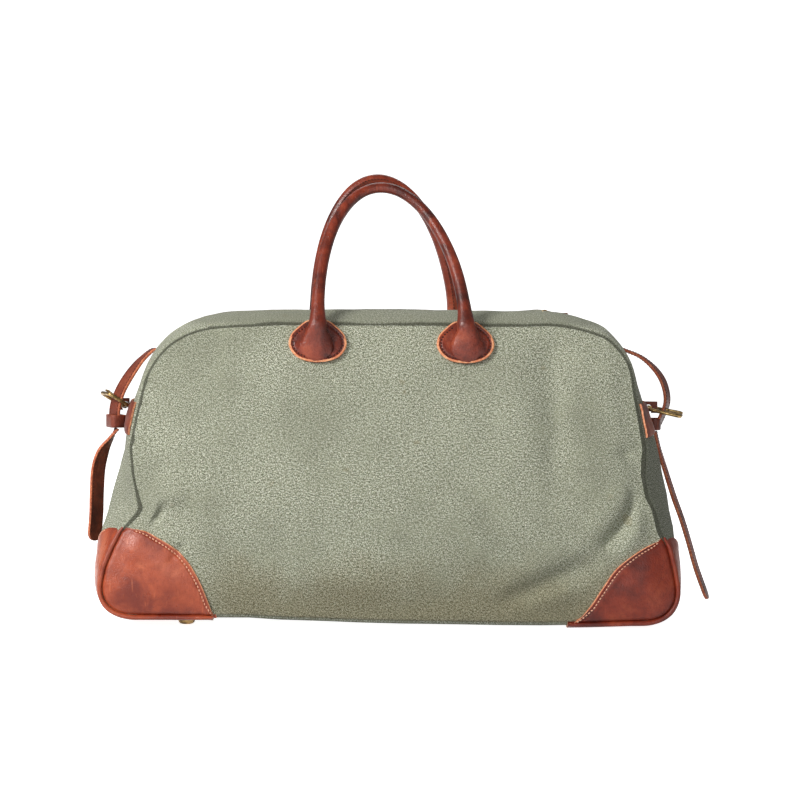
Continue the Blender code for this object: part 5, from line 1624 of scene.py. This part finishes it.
def feet():
    for face_name, face in FACES.items():
        for side_name, side in SIDES.items():
            verts, sides = [], 28
            for radius, z in FOOT_PROFILE:
                for k in range(sides):
                    angle = 2 * math.pi * k / sides
                    verts.append((side * FOOT_X + radius * math.cos(angle),
                                  face * FOOT_Y + radius * math.sin(angle), z))
            faces = grid_faces(len(FOOT_PROFILE), sides, close_columns=True)
            made = make_mesh(f"foot_stud_{face_name}_{side_name}", verts, faces,
                             [(v[0], v[2]) for v in verts], 50)
            face_outwards(made)
            made.data.materials.append(BRASS)
            place(made, "shell", "brass", f"foot_{face_name}_{side_name}")


feet()


# ---------------------------------------------------------------- kept CAD nodes

KEPT = {"base_board": board_finish(), "handle_core_front": rope_finish(), "handle_core_back": rope_finish(),
        "zip_slider": ZIP_BRASS, "zip_pull_ring": ZIP_BRASS, "zip_pull": LEATHER_STRAP,
        "zip_end_left": ZIP_BRASS, "zip_end_right": ZIP_BRASS}
for name, finish in KEPT.items():
    node = NODES[name]
    for slot_index in range(len(node.material_slots)):
        node.material_slots[slot_index].material = finish


# ---------------------------------------------------------------- floor, light and camera


def stage():
    """A pale floor, and a ring of backdrop behind the object. Neither adds diffuse light to it."""
    size = 6.0
    mesh = bpy.data.meshes.new("floor")
    corners = [(-size, -size, 0), (size, -size, 0), (size, size, 0), (-size, size, 0)]
    mesh.from_pydata(corners, [], [(0, 1, 2, 3)])
    floor = link(bpy.data.objects.new("floor", mesh))
    f = Finish("floor_paper", 0.9, 0.1)
    f.put(f.shader.inputs["Emission Color"], (1, 1, 1, 1))
    f.put(f.shader.inputs["Emission Strength"], 0.92)
    grain = f.noise(f.place, 4, 2.0)
    greys = (0.90, 0.90, 0.90, 1), (0.93, 0.93, 0.93, 1)
    floor_paper = f.finish(f.mix(f.between(grain, 0.3, 0.7), *greys))
    mesh.materials.append(floor_paper)
    floor.visible_diffuse = False
    wall_mesh = bpy.data.meshes.new("backdrop")
    radius, sides = 5.0, 48
    angles = [2 * math.pi * k / sides for k in range(sides)]
    verts = [(radius * math.cos(a), radius * math.sin(a), z) for z in (-0.5, 9.0) for a in angles]
    faces = [(k, (k + 1) % sides, sides + (k + 1) % sides, sides + k) for k in range(sides)]
    wall_mesh.from_pydata(verts, [], faces)
    wall = link(bpy.data.objects.new("backdrop", wall_mesh))
    wall_mesh.materials.append(floor_paper)
    wall.visible_diffuse = False
    wall.visible_glossy = False
    wall.visible_shadow = False


def area_light(name, at, aim, size, power, colour=(1, 1, 1)):
    """A lamp at a place in metres, aimed at a point, with its power in watts."""
    lamp = bpy.data.lights.new(name, "AREA")
    lamp.shape = "RECTANGLE"
    lamp.size, lamp.size_y = size
    lamp.energy = power
    lamp.color = colour
    made = bpy.data.objects.new(name, lamp)
    made.location = at
    made.rotation_euler = (Vector(aim) - Vector(at)).to_track_quat("-Z", "Y").to_euler()
    link(made)


def lights():
    world = bpy.data.worlds.new("studio")
    bpy.context.scene.world = world
    world.use_nodes = True
    background = world.node_tree.nodes["Background"]
    background.inputs["Color"].default_value = (1, 1, 1, 1)
    background.inputs["Strength"].default_value = 0.30
    area_light("key", (-1.9, -1.7, 1.5), (0, 0, 0.2), (0.9, 0.9), 74, (1.0, 0.99, 0.97))
    area_light("front", (-0.2, -3.0, 0.9), (0, 0, 0.2), (1.6, 1.2), 22, (1.0, 1.0, 1.0))
    area_light("rim", (0.2, 1.6, 2.2), (0, 0, 0.25), (1.6, 0.8), 18)


def camera():
    lens = bpy.data.cameras.new("photo_camera")
    made = link(bpy.data.objects.new("photo_camera", lens))
    bpy.context.scene.camera = made
    azimuth, elevation, roll = math.radians(-2.8), math.radians(2.5), math.radians(0.5)
    distance = 2.2
    target = Vector((0.0071, -0.112, 0.2269))
    away = Vector((math.sin(azimuth) * math.cos(elevation), -math.cos(azimuth) * math.cos(elevation),
                   math.sin(elevation)))
    made.location = target + away * distance
    turn = (-away).to_track_quat("-Z", "Y").to_matrix().to_4x4()
    made.rotation_euler = (turn @ Matrix.Rotation(roll, 4, "Z")).to_euler()
    lens.sensor_width = 36
    lens.lens = 100.45
    lens.clip_end = 50


stage()
lights()
camera()
bpy.context.scene.view_settings.view_transform = "Standard"
